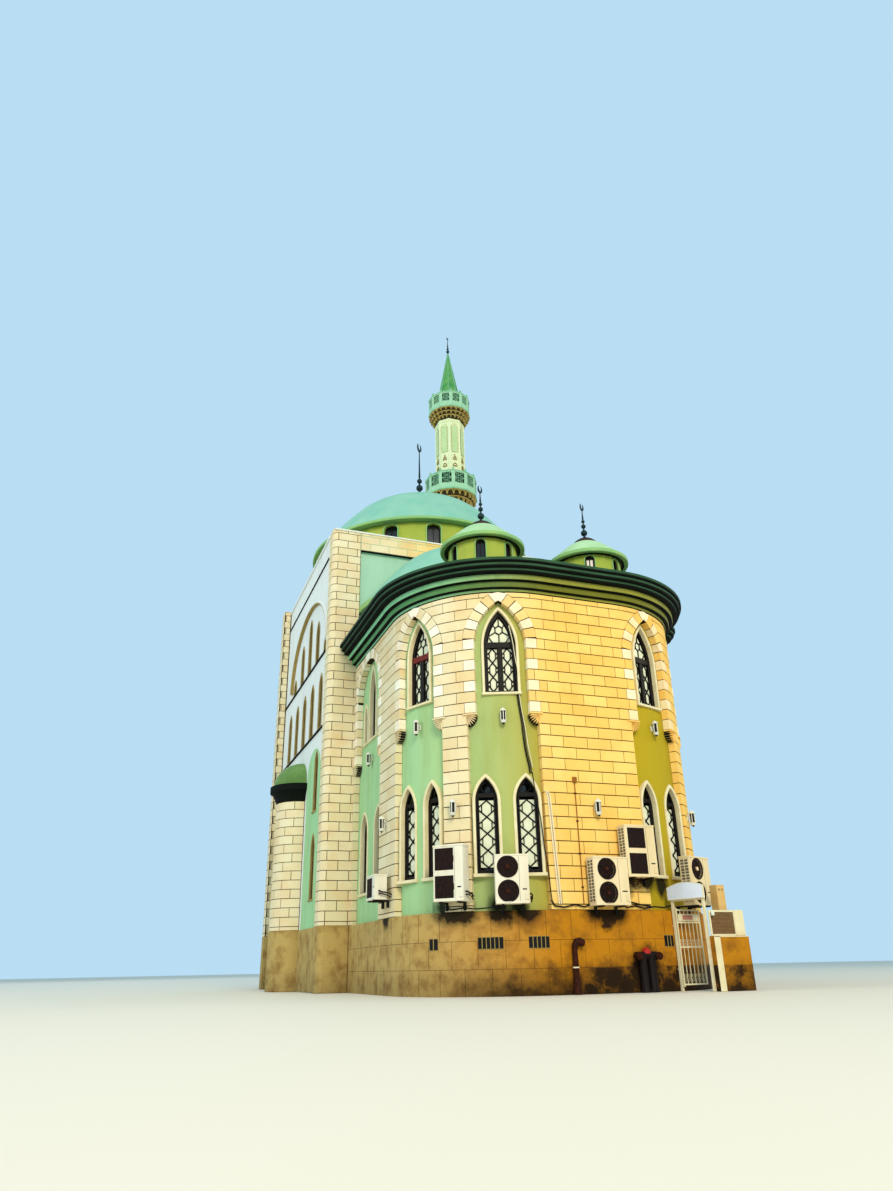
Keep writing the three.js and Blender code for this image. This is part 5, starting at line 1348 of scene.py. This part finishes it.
def buildBalcony(name, corbel, deck, top, radius):
    balconyFinish(f"{name}BalconyPaint", deck)
    paintNodes(f"minaret_{name}_balcony", f"{name}BalconyPaint")
    r, at = minaret["shaft"], minaret["at"]
    tier, reach = (deck - 0.12 - corbel) / 3, (radius - r) / 3.4
    # Three tiers of little pointed niches under the deck, each with a band on top
    for k in range(3):
        cell, band = newHeap(), newHeap()
        near, far, level, foot = r + reach * k, r + reach * (k + 1), corbel + tier * (k + 1), corbel + tier * (k + 0.12)
        size = 2 * math.pi * far / 24
        arch = (size * 0.4, foot, foot + tier * 0.35, foot + tier * 0.8)
        addArchFrame(cell, ringPoint, arch, -0.004, size * 0.085, -0.1, 0.05, steps=3, edge=0.008)
        ringRound(f"{name}Niches_{k + 1}", cell, 24, r + reach * (k + 0.75), math.pi / 24, "ochreGoldPaint")
        profile = [(near, level - 0.035), (far + 0.02, level - 0.035), (far + 0.03, level - 0.015),
                   (far + 0.02, level + 0.01), (near, level + 0.01)]
        turnShape(band, profile, at, 48)
        finishPiece(f"{name}Tier_{k + 1}", band, "ochreGoldPaint", "pale_green_render", 40)
    # Pierced panels in twelve bays over dark sheets of painted shade, knobs on the posts and two rails
    panel, shadeSheet, knob, rail = (newHeap() for _ in range(4))
    inner, half = radius * math.cos(math.pi / 12), radius * math.sin(math.pi / 12) - 0.11
    foot, head = deck + 0.3, top - 0.13
    middle = (foot + head) / 2
    for k in range(1, 5):
        u = -half + 2 * half * k / 5
        addBar(panel, ringPoint, (u, foot), (u, head), 0.02, -0.07, -0.045)
    for side in (-1, 1):
        addBar(panel, ringPoint, (side * half, foot), (-side * half, middle), 0.024, -0.065, -0.04)
        addBar(panel, ringPoint, (side * half, middle), (-side * half, head), 0.024, -0.065, -0.04)
    addBar(panel, ringPoint, (-half, middle), (half, middle), 0.024, -0.065, -0.04)
    addStud(shadeSheet, ringPoint, 0, half + 0.03, foot - 0.03, head + 0.03, -0.088, -0.08, 0.002, span=1)
    profile = [(0, -0.02), (0.07, -0.02), (0.07, 0.03), (0.04, 0.05), (0.05, 0.09), (0.065, 0.13), (0.05, 0.18),
               (0.02, 0.215), (0, 0.23)]
    spokes = [math.pi / 5 * i for i in range(10)]
    loft(knob, [[Vector((*polar(size, a), top + z - 0.01)) for size, z in profile] for a in spokes], closed=True)
    ringRound(f"{name}Backing", shadeSheet, 12, inner, math.pi / 6, "soffitGreenPaint")
    ringRound(f"{name}Lattice", panel, 12, inner, math.pi / 6, "greenMinaretPaint")
    ringRound(f"{name}Knobs", knob, 12, radius - 0.06, math.pi / 12, "greenMinaretPaint", 40)
    for low, high, outer in ((top - 0.06, top + 0.012, radius + 0.025), (deck - 0.11, deck - 0.02, radius + 0.03)):
        profile = [(radius - 0.1, high - 0.001), (radius - 0.1, high), (outer - 0.01, high), (outer, high - 0.01),
                   (outer, low + 0.01), (outer - 0.01, low), (radius - 0.02, low), (radius - 0.02, high - 0.001)]
        turnShape(rail, profile, at, 12, 15)
    finishPiece(f"{name}Rails", rail, "greenMinaretPaint", "pale_green_render")


def buildShaft():
    # Cream ribs down the corners, with rings, pale green fields and small ochre ornaments
    at, r, heaps = minaret["at"], minaret["shaft"], newHeaps()
    ribs, ornaments = heaps["shaftRibs"], heaps["shaftOrnaments"]
    for k in range(8):
        a = math.pi / 8 + math.pi * k / 4
        for foot, head in ((17.42, 24.36), (25.52, 30.56)):
            mapper = flatAt(*polar(r - 0.012, a, *at), *polar(1, a))
            addStud(ribs, mapper, 0, 0.045, foot, head, -0.03, 0.025, 0.012, span=1)
    for z in (17.46, 24.2, 25.6, 30.38):
        profile = [(r - 0.1, z), (r + 0.035, z), (r + 0.05, z + 0.05), (r + 0.035, z + 0.1), (r - 0.1, z + 0.1)]
        turnShape(ribs, profile, at, 8, 22.5)
    finishPiece("shaftRibs", ribs, "creamMinaretRender", "green_cone_paint")
    for foot, head in ((18.2, 23.6), (28.3, 30.1)):
        arch = (0.17, foot, head - 0.1, head)
        addArchSheet(heaps["shaftFields"], ringPoint, arch, -0.006, 0.004, steps=4)
        addArchFrame(heaps["shaftFieldLines"], ringPoint, arch, 0.0, 0.014, -0.006, 0.008, steps=4, edge=0.003)
    for level, size in ((27.42, 0.1), (27.86, 0.085)):
        ring = [polar(size, math.pi * k / 6, 0, level) for k in range(13)]
        for a, b in [*zip(ring, ring[1:]), ((-0.13, level - size), (0.13, level - size))]:
            addBar(ornaments, ringPoint, a, b, 0.035, -0.02, 0.02)
    addBar(ornaments, ringPoint, (0.0, 27.9), (0.0, 28.12), 0.05, -0.02, 0.02)
    for name, finish in (("shaftFields", "paleShaftPanelPaint"), ("shaftFieldLines", "ochreGoldPaint"),
                         ("shaftOrnaments", "tanRevealPaint")):
        ringRound(name, heaps[name], 8, r * math.cos(math.pi / 8), 0.0, finish)


def buildMinaret():
    at, heaps = minaret["at"], newHeaps()
    paintNodes("minaret_lower_shaft minaret_upper_shaft", "creamMinaretRender")
    for name, sizes in balconies.items():
        buildBalcony(name, **sizes)
    buildShaft()
    # Lantern and ribbed cone
    deck, spire = 31.3303, newHeap()
    profile = [(0, deck + 0.3), (0.5, deck + 0.2), (0.5, deck), (0.68, deck), (0.68, 31.78), (0.74, 31.86), (0.8, 31.9),
               (0.8, 31.96), (0.775, 31.99), (0.02, 36.12), (0, 36.175)]
    turnShape(spire, profile, at, 8, 22.5, paint=[0, 0, 0, 0, 1, 1, 1, 1, 2, 2, 0])
    finishPiece("coneAndLantern", spire, "creamMinaretRender greenMinaretPaint greenConeSheet", "green_cone_paint",
                stands=["minaret_spire"], merge=True)
    for k in range(8):
        a = math.pi / 8 + math.pi * k / 4
        seam = [site(*polar(r, a, *at), z) for r, z in ((0.78, 31.98), (0.4, 34.05), (0.03, 36.1))]
        addTube(heaps["coneSeams"], seam, 0.016, 6)
        a = math.pi * k / 4
        mapper = flatAt(*polar(0.68 * math.cos(math.pi / 8), a, *at), *polar(1, a))
        addArchSheet(heaps["lanternLights"], mapper, (0.14, deck + 0.02, 31.6, 31.74), -0.01, 0.006, steps=4)
    finishHeaps(heaps, "green_cone_paint", 40, coneSeams="greenMinaretPaint")
    finishHeaps(heaps, "window_glass", lanternLights="tintedGlass")
    finial = newHeap()
    addFinial(finial, *at, 36.06, 37.4, 0.1, [(0.14, 1.0), (0.3, 0.72), (0.43, 0.55)], 0.84, 0.7)
    finishPiece("minaretFinial", finial, "agedBronze", "dark_bronze", 40, ["minaret_finial"], merge=True)
    print("minaret done")


# Outdoor units on the wall

commonUnit = {"width": 0.8, "fans": 2, "grille": "square", "coil": True, "depth": 0.34, "off": 0.13}
units = [{**commonUnit, **unit} for unit in (
    {"at": 4.08, "foot": 2.33, "height": 0.62, "fans": 1, "coil": False},
    {"at": 7.07, "foot": 2.1, "height": 1.3},
    {"at": 8.45, "foot": 2.0, "height": 1.11, "grille": "round"},
    {"at": 10.885, "foot": 1.96, "width": 0.95, "height": 1.12, "grille": "round"},
    {"at": 11.815, "foot": 2.63, "width": 0.86, "height": 1.25},
    {"at": 13.38, "foot": 1.98, "width": 0.93, "height": 1.17, "grille": "round", "depth": 0.3, "off": 0.35},
)]


def around(mapper, radius, angle, out):
    # Point at a radius and an angle from a mapper's origin
    u, z = polar(radius, angle)
    return mapper(u, out, z)


def addDisc(heap, mapper, radius, back, face, sides=28, edge=0.004):
    loft(heap, [[around(mapper, size, 2 * math.pi * k / sides, out) for k in range(sides)]
                for size, out in ((radius, back), (radius, face - edge), (radius - edge, face))])


def addHoop(heap, mapper, radius, thick, out, sides=30):
    section = ((-thick, 0), (0, thick), (thick, 0), (0, -thick))
    loft(heap, [[around(mapper, radius + du, 2 * math.pi * k / sides, out + dout) for du, dout in section]
                for k in range(sides)], closed=True)


def addSquareFan(heaps, mapper, name, turn, side, left, right):
    # Dark well, thin slats and a wire guard; the mapper starts at the fan's middle and the casing's face
    black, guards, slat = heaps["unitBlackParts"], heaps["unitGuards"], newHeap()
    addSlab(black, mapper, left, right, -side, side, -0.05, 0.006, 0.012, span=1)
    addSlab(slat, rowPoint, left + 0.015, right - 0.015, -0.003, 0.003, 0.0, 0.009, 0.001, span=1)
    rows = max(6, round(2 * side / 0.028))
    repeatPiece(name, slat, rowTree, "rustedSteelPipe", "casing_paint", Count=rows, Start=mapper(0, 0.003, 0.02 - side),
                Step=(0, 0, (2 * side - 0.04) / (rows - 1)), Turn=turn)
    for bar in range(1, 5):
        u = left + (right - left) * bar / 5
        addStud(guards, mapper, u, 0.002, 0.01 - side, side - 0.01, 0.004, 0.013, 0.001, span=1)
    for share in (0.3, 0.75):
        addHoop(guards, mapper, side * share, 0.004, 0.012)


def addRoundFan(heaps, mapper, radius, hub):
    # Dark well and shroud, four blades, a hub and a guard of hoops and spokes
    black, guards = heaps["unitBlackParts"], heaps["unitGuards"]
    addDisc(black, mapper, radius * 0.985, -0.052, -0.038)
    shroud = ((0.97, -0.01), (0.97, 0.004), (1.17, 0.004), (1.17, -0.01))
    loft(black, [[around(mapper, radius * share, math.pi * k / 16, out) for share, out in shroud] for k in range(32)],
         closed=True)
    addHoop(heaps["unitLidsAndTrims"], mapper, radius * 1.19, 0.01, 0.001)
    outline = ((0.16, 0.0), (0.9, 0.12), (0.97, 0.45), (0.86, 0.85), (0.2, 0.5))
    for k in range(4):
        start = math.pi / 2 * k + 0.3
        loft(heaps["unitFansAndPipes"], [
            [around(mapper, radius * r, start + a, 0.01 * (j % 2) + out) for j, (r, a) in enumerate(outline)]
            for out in (-0.036, -0.032)])
    addDisc(heaps[hub], mapper, radius * 0.22, -0.036, 0.012, 20)
    for k in range(1, 9):
        addHoop(guards, mapper, radius * (0.2 + 0.118 * k), 0.003, 0.008, 32)
    for k in range(12):
        a = math.pi * k / 6
        addBar(guards, mapper, polar(radius * 0.18, a), polar(radius * 1.16, a), 0.006, 0.004, 0.011)


def addCoil(heaps, mapper, number, turn, reach, foot, top, height):
    # Finned coil on the left side behind a wire guard; the mapper starts at that side's middle
    pale, wire = heaps["unitLidsAndTrims"], newHeap()
    addStud(heaps["unitBlackParts"], mapper, 0, reach, foot + 0.07, top - 0.06, -0.01, 0.004, 0.001, span=1)
    rows = round(height / 0.085)
    for k in range(rows + 1):
        z = foot + 0.07 + (top - foot - 0.13) * k / rows
        addStud(pale, mapper, 0, reach, z - 0.009, z + 0.009, -0.005, 0.012, 0.003, span=1)
    for u in (-reach, 0.0, reach):
        addStud(pale, mapper, u, 0.01, foot + 0.06, top - 0.05, -0.005, 0.012, 0.003, span=1)
    addStud(wire, rowPoint, 0, reach, -0.0025, 0.0025, 0.0, 0.005, 0.001, span=1)
    count = round((top - foot - 0.15) / 0.03)
    repeatPiece(f"unitWires_{number}", wire, rowTree, "paleFanPlastic", "casing_paint", Count=count,
                Start=mapper(0, 0.003, foot + 0.085), Step=(0, 0, (top - foot - 0.16) / (count - 1)), Turn=turn)


def addUnit(heaps, number, at, foot, height, width, fans, grille, coil, depth, off):
    x, y, nx, ny = wallSpot(at)
    plane = flatAt(x, y, nx, ny)
    half, face, top, cell = width / 2, off + depth, foot + height, height / fans
    pale, black = heaps["unitLidsAndTrims"], heaps["unitBlackParts"]
    # Lid, base rail, valve cover, panel seam and handle
    seam = half * 0.42
    addStud(pale, plane, 0, half + 0.012, top - 0.03, top + 0.012, off - 0.01, face + 0.012, 0.008, span=1)
    addStud(pale, plane, 0, half + 0.004, foot - 0.006, foot + 0.045, off, face + 0.008, 0.006, span=1)
    addSlab(pale, plane, half - 0.11, half - 0.02, foot + 0.08, foot + 0.24, face - 0.004, face + 0.02, 0.008, span=1)
    addSlab(black, plane, seam, seam + 0.006, foot + 0.05, top - 0.035, face - 0.004, face + 0.0015, 0.0005, span=1)
    addSlab(black, plane, seam + 0.07, half - 0.06, foot + 0.3, foot + 0.33, face - 0.004, face + 0.002, 0.0008, span=1)
    u = -half * 0.25
    for i in range(fans):
        z = foot + cell * (i + 0.5)
        mapper = lambda du, out, dz, z=z: plane(u + du, face + out, z + dz)
        if grille == "square":
            side = cell * 0.41
            left, right = max(0.03 - half - u, -side), min(seam - 0.02 - u, side)
            addSquareFan(heaps, mapper, f"unitSlats_{number}_{i + 1}", math.atan2(nx, -ny), side, left, right)
        else:
            addRoundFan(heaps, mapper, cell * 0.4, "unitLidsAndTrims" if number == 6 else "unitGuards")
    if coil:
        mapper = lambda v, out, z: plane(-half - out, off + depth / 2 + v, z)
        addCoil(heaps, mapper, number, math.atan2(ny, nx), depth / 2 - 0.03, foot, top, height)
    # Dark steel round the brackets' arms and uprights, and insulated pipes that turn into the wall
    for low, high, reach in ((0.045, 0.008, face + 0.004), (0.204, 0.04, hall["plinthProud"] + 0.05)):
        for hand in (-1, 1):
            addStud(black, plane, hand * half * 0.6, 0.024, foot - low, foot - high, 0.0, reach, 0.002, span=1)
    for k in range(2):
        z = foot + 0.14 + 0.07 * k
        path = ((-0.01, face - 0.12, 0), (0.05, face - 0.12, 0), (0.075, face - 0.16, -0.03 * k), (0.075, off, -0.05),
                (0.06, 0.05, -0.09), (0.06, -0.01, -0.09))
        addTube(heaps["unitFansAndPipes"], [plane(half + du, out, z + dz) for du, out, dz in path], 0.016 + 0.004 * k)


def buildUnits():
    heaps = newHeaps()
    for number, unit in enumerate(units, 1):
        addUnit(heaps, number, **unit)
        paintNodes(f"condenser_{number}", "casingEnamel")
    finishHeaps(heaps, "casing_paint", unitBlackParts="blackGrilleSteel", unitGuards="rustedSteelPipe")
    finishHeaps(heaps, "casing_paint", 30, unitLidsAndTrims="casingEnamel")
    finishHeaps(heaps, "casing_paint", 40, unitFansAndPipes="blackCableSheath")
    print("outdoor units done")


# Lanterns, cables and pipes on the hall's wall

def addLantern(heaps, s, out, z):
    x, y, nx, ny = wallSpot(s)
    centre = polar(out + 0.13, math.atan2(ny, nx), x, y)
    plane = flatAt(x, y, nx, ny)
    # Dark tip, cup, hood and glass, turned from (radius, height) profiles
    for name, profile, segments in (
        ("lanternPanes", ((0.0, -0.235), (0.018, -0.232), (0.022, -0.21), (0.055, -0.195), (0.0, -0.19)), 14),
        ("lanternCaps", ((0.0, -0.195), (0.056, -0.194), (0.075, -0.155), (0.082, -0.12), (0.0, -0.115)), 14),
        ("lanternCaps", ((0.0, 0.13), (0.086, 0.13), (0.08, 0.165), (0.058, 0.19), (0.022, 0.205), (0.018, 0.225),
                         (0.0, 0.23)), 14),
        ("lanternPanes", ((0.0, -0.125), (0.058, -0.125), (0.058, 0.14), (0.0, 0.14)), 12),
    ):
        turnShape(heaps[name], [(r, z + height) for r, height in profile], centre, segments)
    frame = heaps["wallLanterns"]
    for k in range(4):
        a = math.pi * k / 2 + math.atan2(ny, nx)
        rod = flatAt(*polar(0.064, a, *centre), *polar(1, a))
        addStud(frame, rod, 0, 0.01, z - 0.12, z + 0.135, -0.01, 0.013, 0.003, span=1)
    addStud(frame, plane, 0, 0.05, z - 0.06, z + 0.09, out - 0.03, out + 0.02, 0.006, span=1)
    addTube(frame, [plane(0, out, z + 0.05), plane(0, out + 0.05, z + 0.07), plane(0, out + 0.09, z + 0.04)], 0.012)


def clipped(points, out, wobble=0.0):
    # World points of a cable clipped along the wall through (distance, height) points
    path = []
    for (s0, z0), (s1, z1) in zip(points, points[1:]):
        count = max(2, round(math.hypot(s1 - s0, z1 - z0) / 0.2))
        for t in (i / count for i in range(count)):
            s, z = s0 + (s1 - s0) * t, z0 + (z1 - z0) * t
            path.append(onWall(s + wobble * math.sin(z * 5.1), out + abs(wobble) * 0.3, z))
    return path + [onWall(points[-1][0], out, points[-1][1])]


highCable = [(8.72, 9.2), (8.8, 8.75), (8.86, 8.2), (8.88, 7.4), (8.93, 6.9), (8.97, 6.3), (9.05, 5.7), (9.12, 5.2)]
# Each cable or pipe: its piece, route, distance off the wall, wobble, radius and sides
cables = [
    # A pair and a pale cable that come out of a high window and run down the niche, and their run below it
    ("blackCables", highCable, -0.15, 0.012, 0.018, 8),
    ("blackCables", [(s + 0.045, z) for s, z in highCable[2:]], -0.15, 0.016, 0.012, 8),
    ("creamPipes", [(8.74, 9.3), (8.84, 8.7), (8.92, 8.1), (8.94, 7.4), (9.02, 6.6), (9.12, 5.9), (9.2, 5.35)],
     -0.145, 0.01, 0.012, 8),
    ("blackCables", [(9.12, 5.2), (9.2, 4.6), (9.32, 3.6), (9.38, 2.9), (9.45, 2.05)], 0.015, 0.01, 0.014, 8),
    # Two pale pipes, a brown conduit and the cross head of the fire inlet
    *(("creamPipes", [(9.46 + shift, 4.72), (9.5 + shift, 4.6), (9.56 + shift, 3.4), (9.62 + shift, 2.0)],
       0.035, 0, 0.02, 8) for shift in (0.0, 0.06)),
    ("orangeConduit", [(10.3, 5.0), (10.3, 4.2), (10.3, 3.0), (10.3, 2.0)], 0.032, 0, 0.013, 8),
    ("sootyRisers", [(11.56, 0.81), (12.12, 0.81)], 0.15, 0, 0.1, 14),
    # Loose leads along the top of the plinth
    ("blackCables", [(9.42, 2.1), (9.5, 1.96), (9.75, 1.93), (10.05, 1.99), (10.3, 1.94), (10.5, 2.0)],
     0.045, 0.01, 0.02, 6),
    ("blackCables", [(11.35, 2.0), (11.5, 1.93), (11.75, 1.97), (12.0, 1.91), (12.3, 1.95), (12.6, 1.93), (12.95, 2.0)],
     0.045, 0.012, 0.02, 6),
    ("blackCables", [(6.75, 2.0), (6.95, 1.92), (7.3, 1.96), (7.6, 1.92), (8.1, 1.95)], 0.045, 0.01, 0.018, 6),
    ("blackCables", [(11.3, 2.3), (11.42, 2.16), (11.6, 2.06), (11.9, 2.0), (12.2, 1.96)], 0.04, 0.01, 0.018, 6),
]
# Each standing pipe: its piece, points of (distance, out, height), radii and sides
standpipe = [(9.9, 0.13, 0.0), (9.9, 0.13, 0.04), (9.9, 0.13, 0.3), (9.9, 0.13, 0.95), (9.91, 0.13, 1.06),
             (9.96, 0.13, 1.14), (10.04, 0.13, 1.15), (10.13, 0.13, 1.12), (10.15, 0.13, 1.115)]
pipes = [
    ("steelPipes", standpipe, [0.11, 0.1, 0.075, 0.062, 0.075, 0.09, 0.095, 0.09, 0.075], 16),
    ("steelPipes", [(9.9, 0.03, 0.75), (9.9, 0.15, 0.75)], 0.03, 10),
    ("creamPipes", [(9.9, 0.13, 0.57), (9.9, 0.13, 0.6)], 0.078, 16),
    ("redValves", [(11.85, 0.15, z) for z in (0.86, 0.94, 0.985, 1.0)], [0.11, 0.1, 0.06, 0.03], 14),
]
for place in (11.73, 11.96):  # Stems of the fire inlet
    stem = [(place, 0.15, z) for z in (0.0, 0.05, 0.08, 0.8)]
    pipes.append(("sootyRisers", stem, [0.135, 0.13, 0.112, 0.1], 16))
for place in (11.58, 12.12):  # Its capped outlets
    outlet = [(place, 0.1, 0.83), (place, 0.24, 0.81), (place, 0.25, 0.81), (place, 0.31, 0.8)]
    pipes.append(("steelPipes", outlet, [0.07, 0.075, 0.09, 0.09], 14))
    pipes.append(("steelPipes", [(place, 0.3, 0.8), (place, 0.335, 0.795)], 0.05, 8))


def buildWallFittings():
    heaps = newHeaps()
    for bay in bays:
        addLantern(heaps, bay["at"], -0.18, 6.7)
    for s in (3.95, 7.08, 10.88, wallLength - 7.08, wallLength - 3.95):
        addLantern(heaps, s, 0.014, 4.35)
    for name, finish, slotName in (("wallLanterns", "whiteLanternEnamel", "casing_paint"),
                                   ("lanternCaps", "whiteLanternEnamel", "casing_paint"),
                                   ("lanternPanes", "darkWindowFrame", "window_glass")):
        finishPiece(name, heaps[name], finish, slotName, 40, merge=True)
    for name, points, out, wobble, radius, sides in cables:
        addTube(heaps[name], clipped(points, out, wobble), radius, sides)
    for name, points, radius, sides in pipes:
        addTube(heaps[name], [onWall(*point) for point in points], radius, sides)
    addSlab(heaps["orangeConduit"], onWall, 10.25, 10.36, 4.98, 5.12, 0.0, 0.07, 0.008)
    for z in (2.4, 3.2, 4.0, 4.7):
        addStud(heaps["steelPipes"], onWall, 10.3, 0.03, z - 0.015, z + 0.015, 0.005, 0.05, 0.003)
    finishHeaps(heaps, "casing_paint", 60, blackCables="blackCableSheath", creamPipes="creamCableSheath")
    finishHeaps(heaps, "casing_paint", 40, orangeConduit="brownConduit", steelPipes="rustedSteelPipe",
                sootyRisers="sootyPipePaint", redValves="redValvePaint")
    print("wall fittings done")


# Side gate, low wall and cabinet

gate = {"at": (2.04, 0.0), "heading": -73, "open": 85, "inset": 0.075, "width": 0.825}


def buildGate(heaps):
    heading = math.radians(gate["heading"])
    swing = math.radians(gate["heading"] + gate["open"])
    leaf = flatAt(*polar(gate["inset"], heading, *gate["at"]), math.sin(swing), -math.cos(swing))
    scrolls, plate, trim = heaps["gateScrolls"], newHeap(), heaps["gateTrim"]
    pitch = gate["width"] / 6
    for k in range(6):
        for low, size in ((0.22, 0.05), (1.03, 0.045)):
            for flip in (-1, 1):
                path = []
                for i in range(15):
                    a, r = math.pi * (0.1 + 1.9 * i / 14), size * (1 - 0.5 * i / 14)
                    u, z = pitch * (k + 0.5) + flip * r * math.sin(a) * 0.9, low + 0.07 + size * flip - r * math.cos(a)
                    path.append(leaf(u, 0.0, z))
                addTube(scrolls, path, 0.0045, 6)
    for k in range(1, 6):
        for z in (0.45, 1.3):
            for out in (-0.011, 0.0):
                addStud(scrolls, leaf, pitch * k, 0.014, z - 0.012, z + 0.012, out, out + 0.011, 0.004, span=1)
    finishPiece("gateScrolls", scrolls, "creamGateEnamel", "gate_paint", 50, body="gate")
    addSlab(plate, leaf, 0.04, 0.78, 1.61, 1.78, 0.009, 0.014, 0.002, span=1)
    addSlab(plate, leaf, 0.2, 0.56, 1.64, 1.75, 0.013, 0.0155, 0.0008, paint=1, span=1)
    finishPiece("gateLeafPlate", plate, "creamGateEnamel fadedRedPlate", "gate_paint", body="gate")
    # Latch, and a raised edge round the bare plate over the gate
    mapper = flatAt(*gate["at"], math.sin(heading), -math.cos(heading))
    middle, wide = 0.475, 0.565
    top = [(middle + wide * k / 8, 2.52 - 0.11 * (k / 8) ** 2) for k in range(-8, 9)]
    edge = [(middle - wide, 2.1), *top, (middle + wide, 2.1)]
    edge = [(middle + (u - middle) * 0.975, 2.3 + (z - 2.3) * 0.93) for u, z in edge]
    for a, b in zip(edge, edge[1:] + edge[:1]):
        addBar(trim, mapper, a, b, 0.014, 0.06, 0.0745)
    addSheet(heaps["gateBoard"], mapper, edge, 0.06, 0.0705)
    addSlab(trim, mapper, 0.935, 0.965, 0.98, 1.12, 0.028, 0.045, 0.004, span=1)


def buildYard():
    heaps = newHeaps()
    buildGate(heaps)
    paintNodes("gate_leaf gate_frame wall_panel", "creamGateEnamel")
    paintNodes("low_wall", "ochrePlinthRender")
    paintNodes("yard_cabinet", "ochreSteelSheet")
    # The wall's pale end strip, coping and board, the sheet in the framed panel, the cabinet's door and locks
    for name, y, start, end, low, high, back, face, edge in (
        ("paleBoards", -1.1, 2.357, 2.53, 0.0, 1.218, -0.02, 0.012, 0.005),
        ("paleBoards", -1.1, 2.3557, 3.37, 1.195, 1.2195, -0.04, 0.012, 0.004),
        ("paleBoards", -1.015, 3.08, 3.362, 1.226, 1.81, -0.004, 0.012, 0.004),
        ("panelSheet", -1.015, 2.405, 3.065, 1.268, 1.767, -0.0088, -0.006, 0.0005),
        ("cabinetDoor", -0.8997, 2.785, 2.985, 1.9, 2.38, -0.01, 0.006, 0.004),
        ("cabinetLocks", -0.8997, 2.828, 2.852, 2.28, 2.33, 0.003, 0.012, 0.003),
        ("cabinetLocks", -0.8997, 2.918, 2.942, 2.28, 2.33, 0.003, 0.012, 0.003),
    ):
        addSlab(heaps[name], flatAt(0, y, 0, -1), start, end, low, high, back, face, edge, span=1)
    wire, upright, lamp = newHeap(), newHeap(), newHeap()
    addSlab(wire, rowPoint, 2.402, 3.068, -0.003, 0.003, 0.0, 0.003, 0.0008, span=1)
    repeatPiece("panelWires", wire, rowTree, "rustedSteelPipe", "gate_paint", Count=16, Start=site(0, -1.009, 1.28),
                Step=(0, 0, 0.0315), Turn=0.0)
    addStud(upright, rowPoint, 0, 0.003, 1.27, 1.765, 0.0, 0.0035, 0.0008, span=1)
    repeatPiece("panelUprights", upright, rowTree, "rustedSteelPipe", "gate_paint", Count=21,
                Start=site(2.42, -1.0105, 0), Step=(0.0318, 0, 0), Turn=0.0)
    addTube(lamp, [site(2.42, y, z) for y, z in ((-1.03, 1.76), (-1.06, 1.79), (-1.085, 1.775))], 0.01)
    addTube(lamp, [site(2.42, -1.085, z) for z in (1.79, 1.76, 1.7, 1.68)], [0.02, 0.04, 0.045, 0.03], 12)
    finishPiece("panelLamp", lamp, "whiteLanternEnamel", "gate_paint", 40)
    finishHeaps(heaps, "gate_paint", gateBoard="bluishPlateEnamel", gateTrim="creamGateEnamel",
                paleBoards="creamSurroundPaint", panelSheet="brownMeshSheet")
    finishHeaps(heaps, "cabinet_paint", cabinetDoor="ochreSteelSheet", cabinetLocks="blackGrilleSteel")
    print("yard done")


for build in (buildStonework, buildPlinth, buildStucco, buildWindows, buildCornice, buildDomes, buildBlock,
              buildMinaret, buildUnits, buildWallFittings, buildYard):
    build()
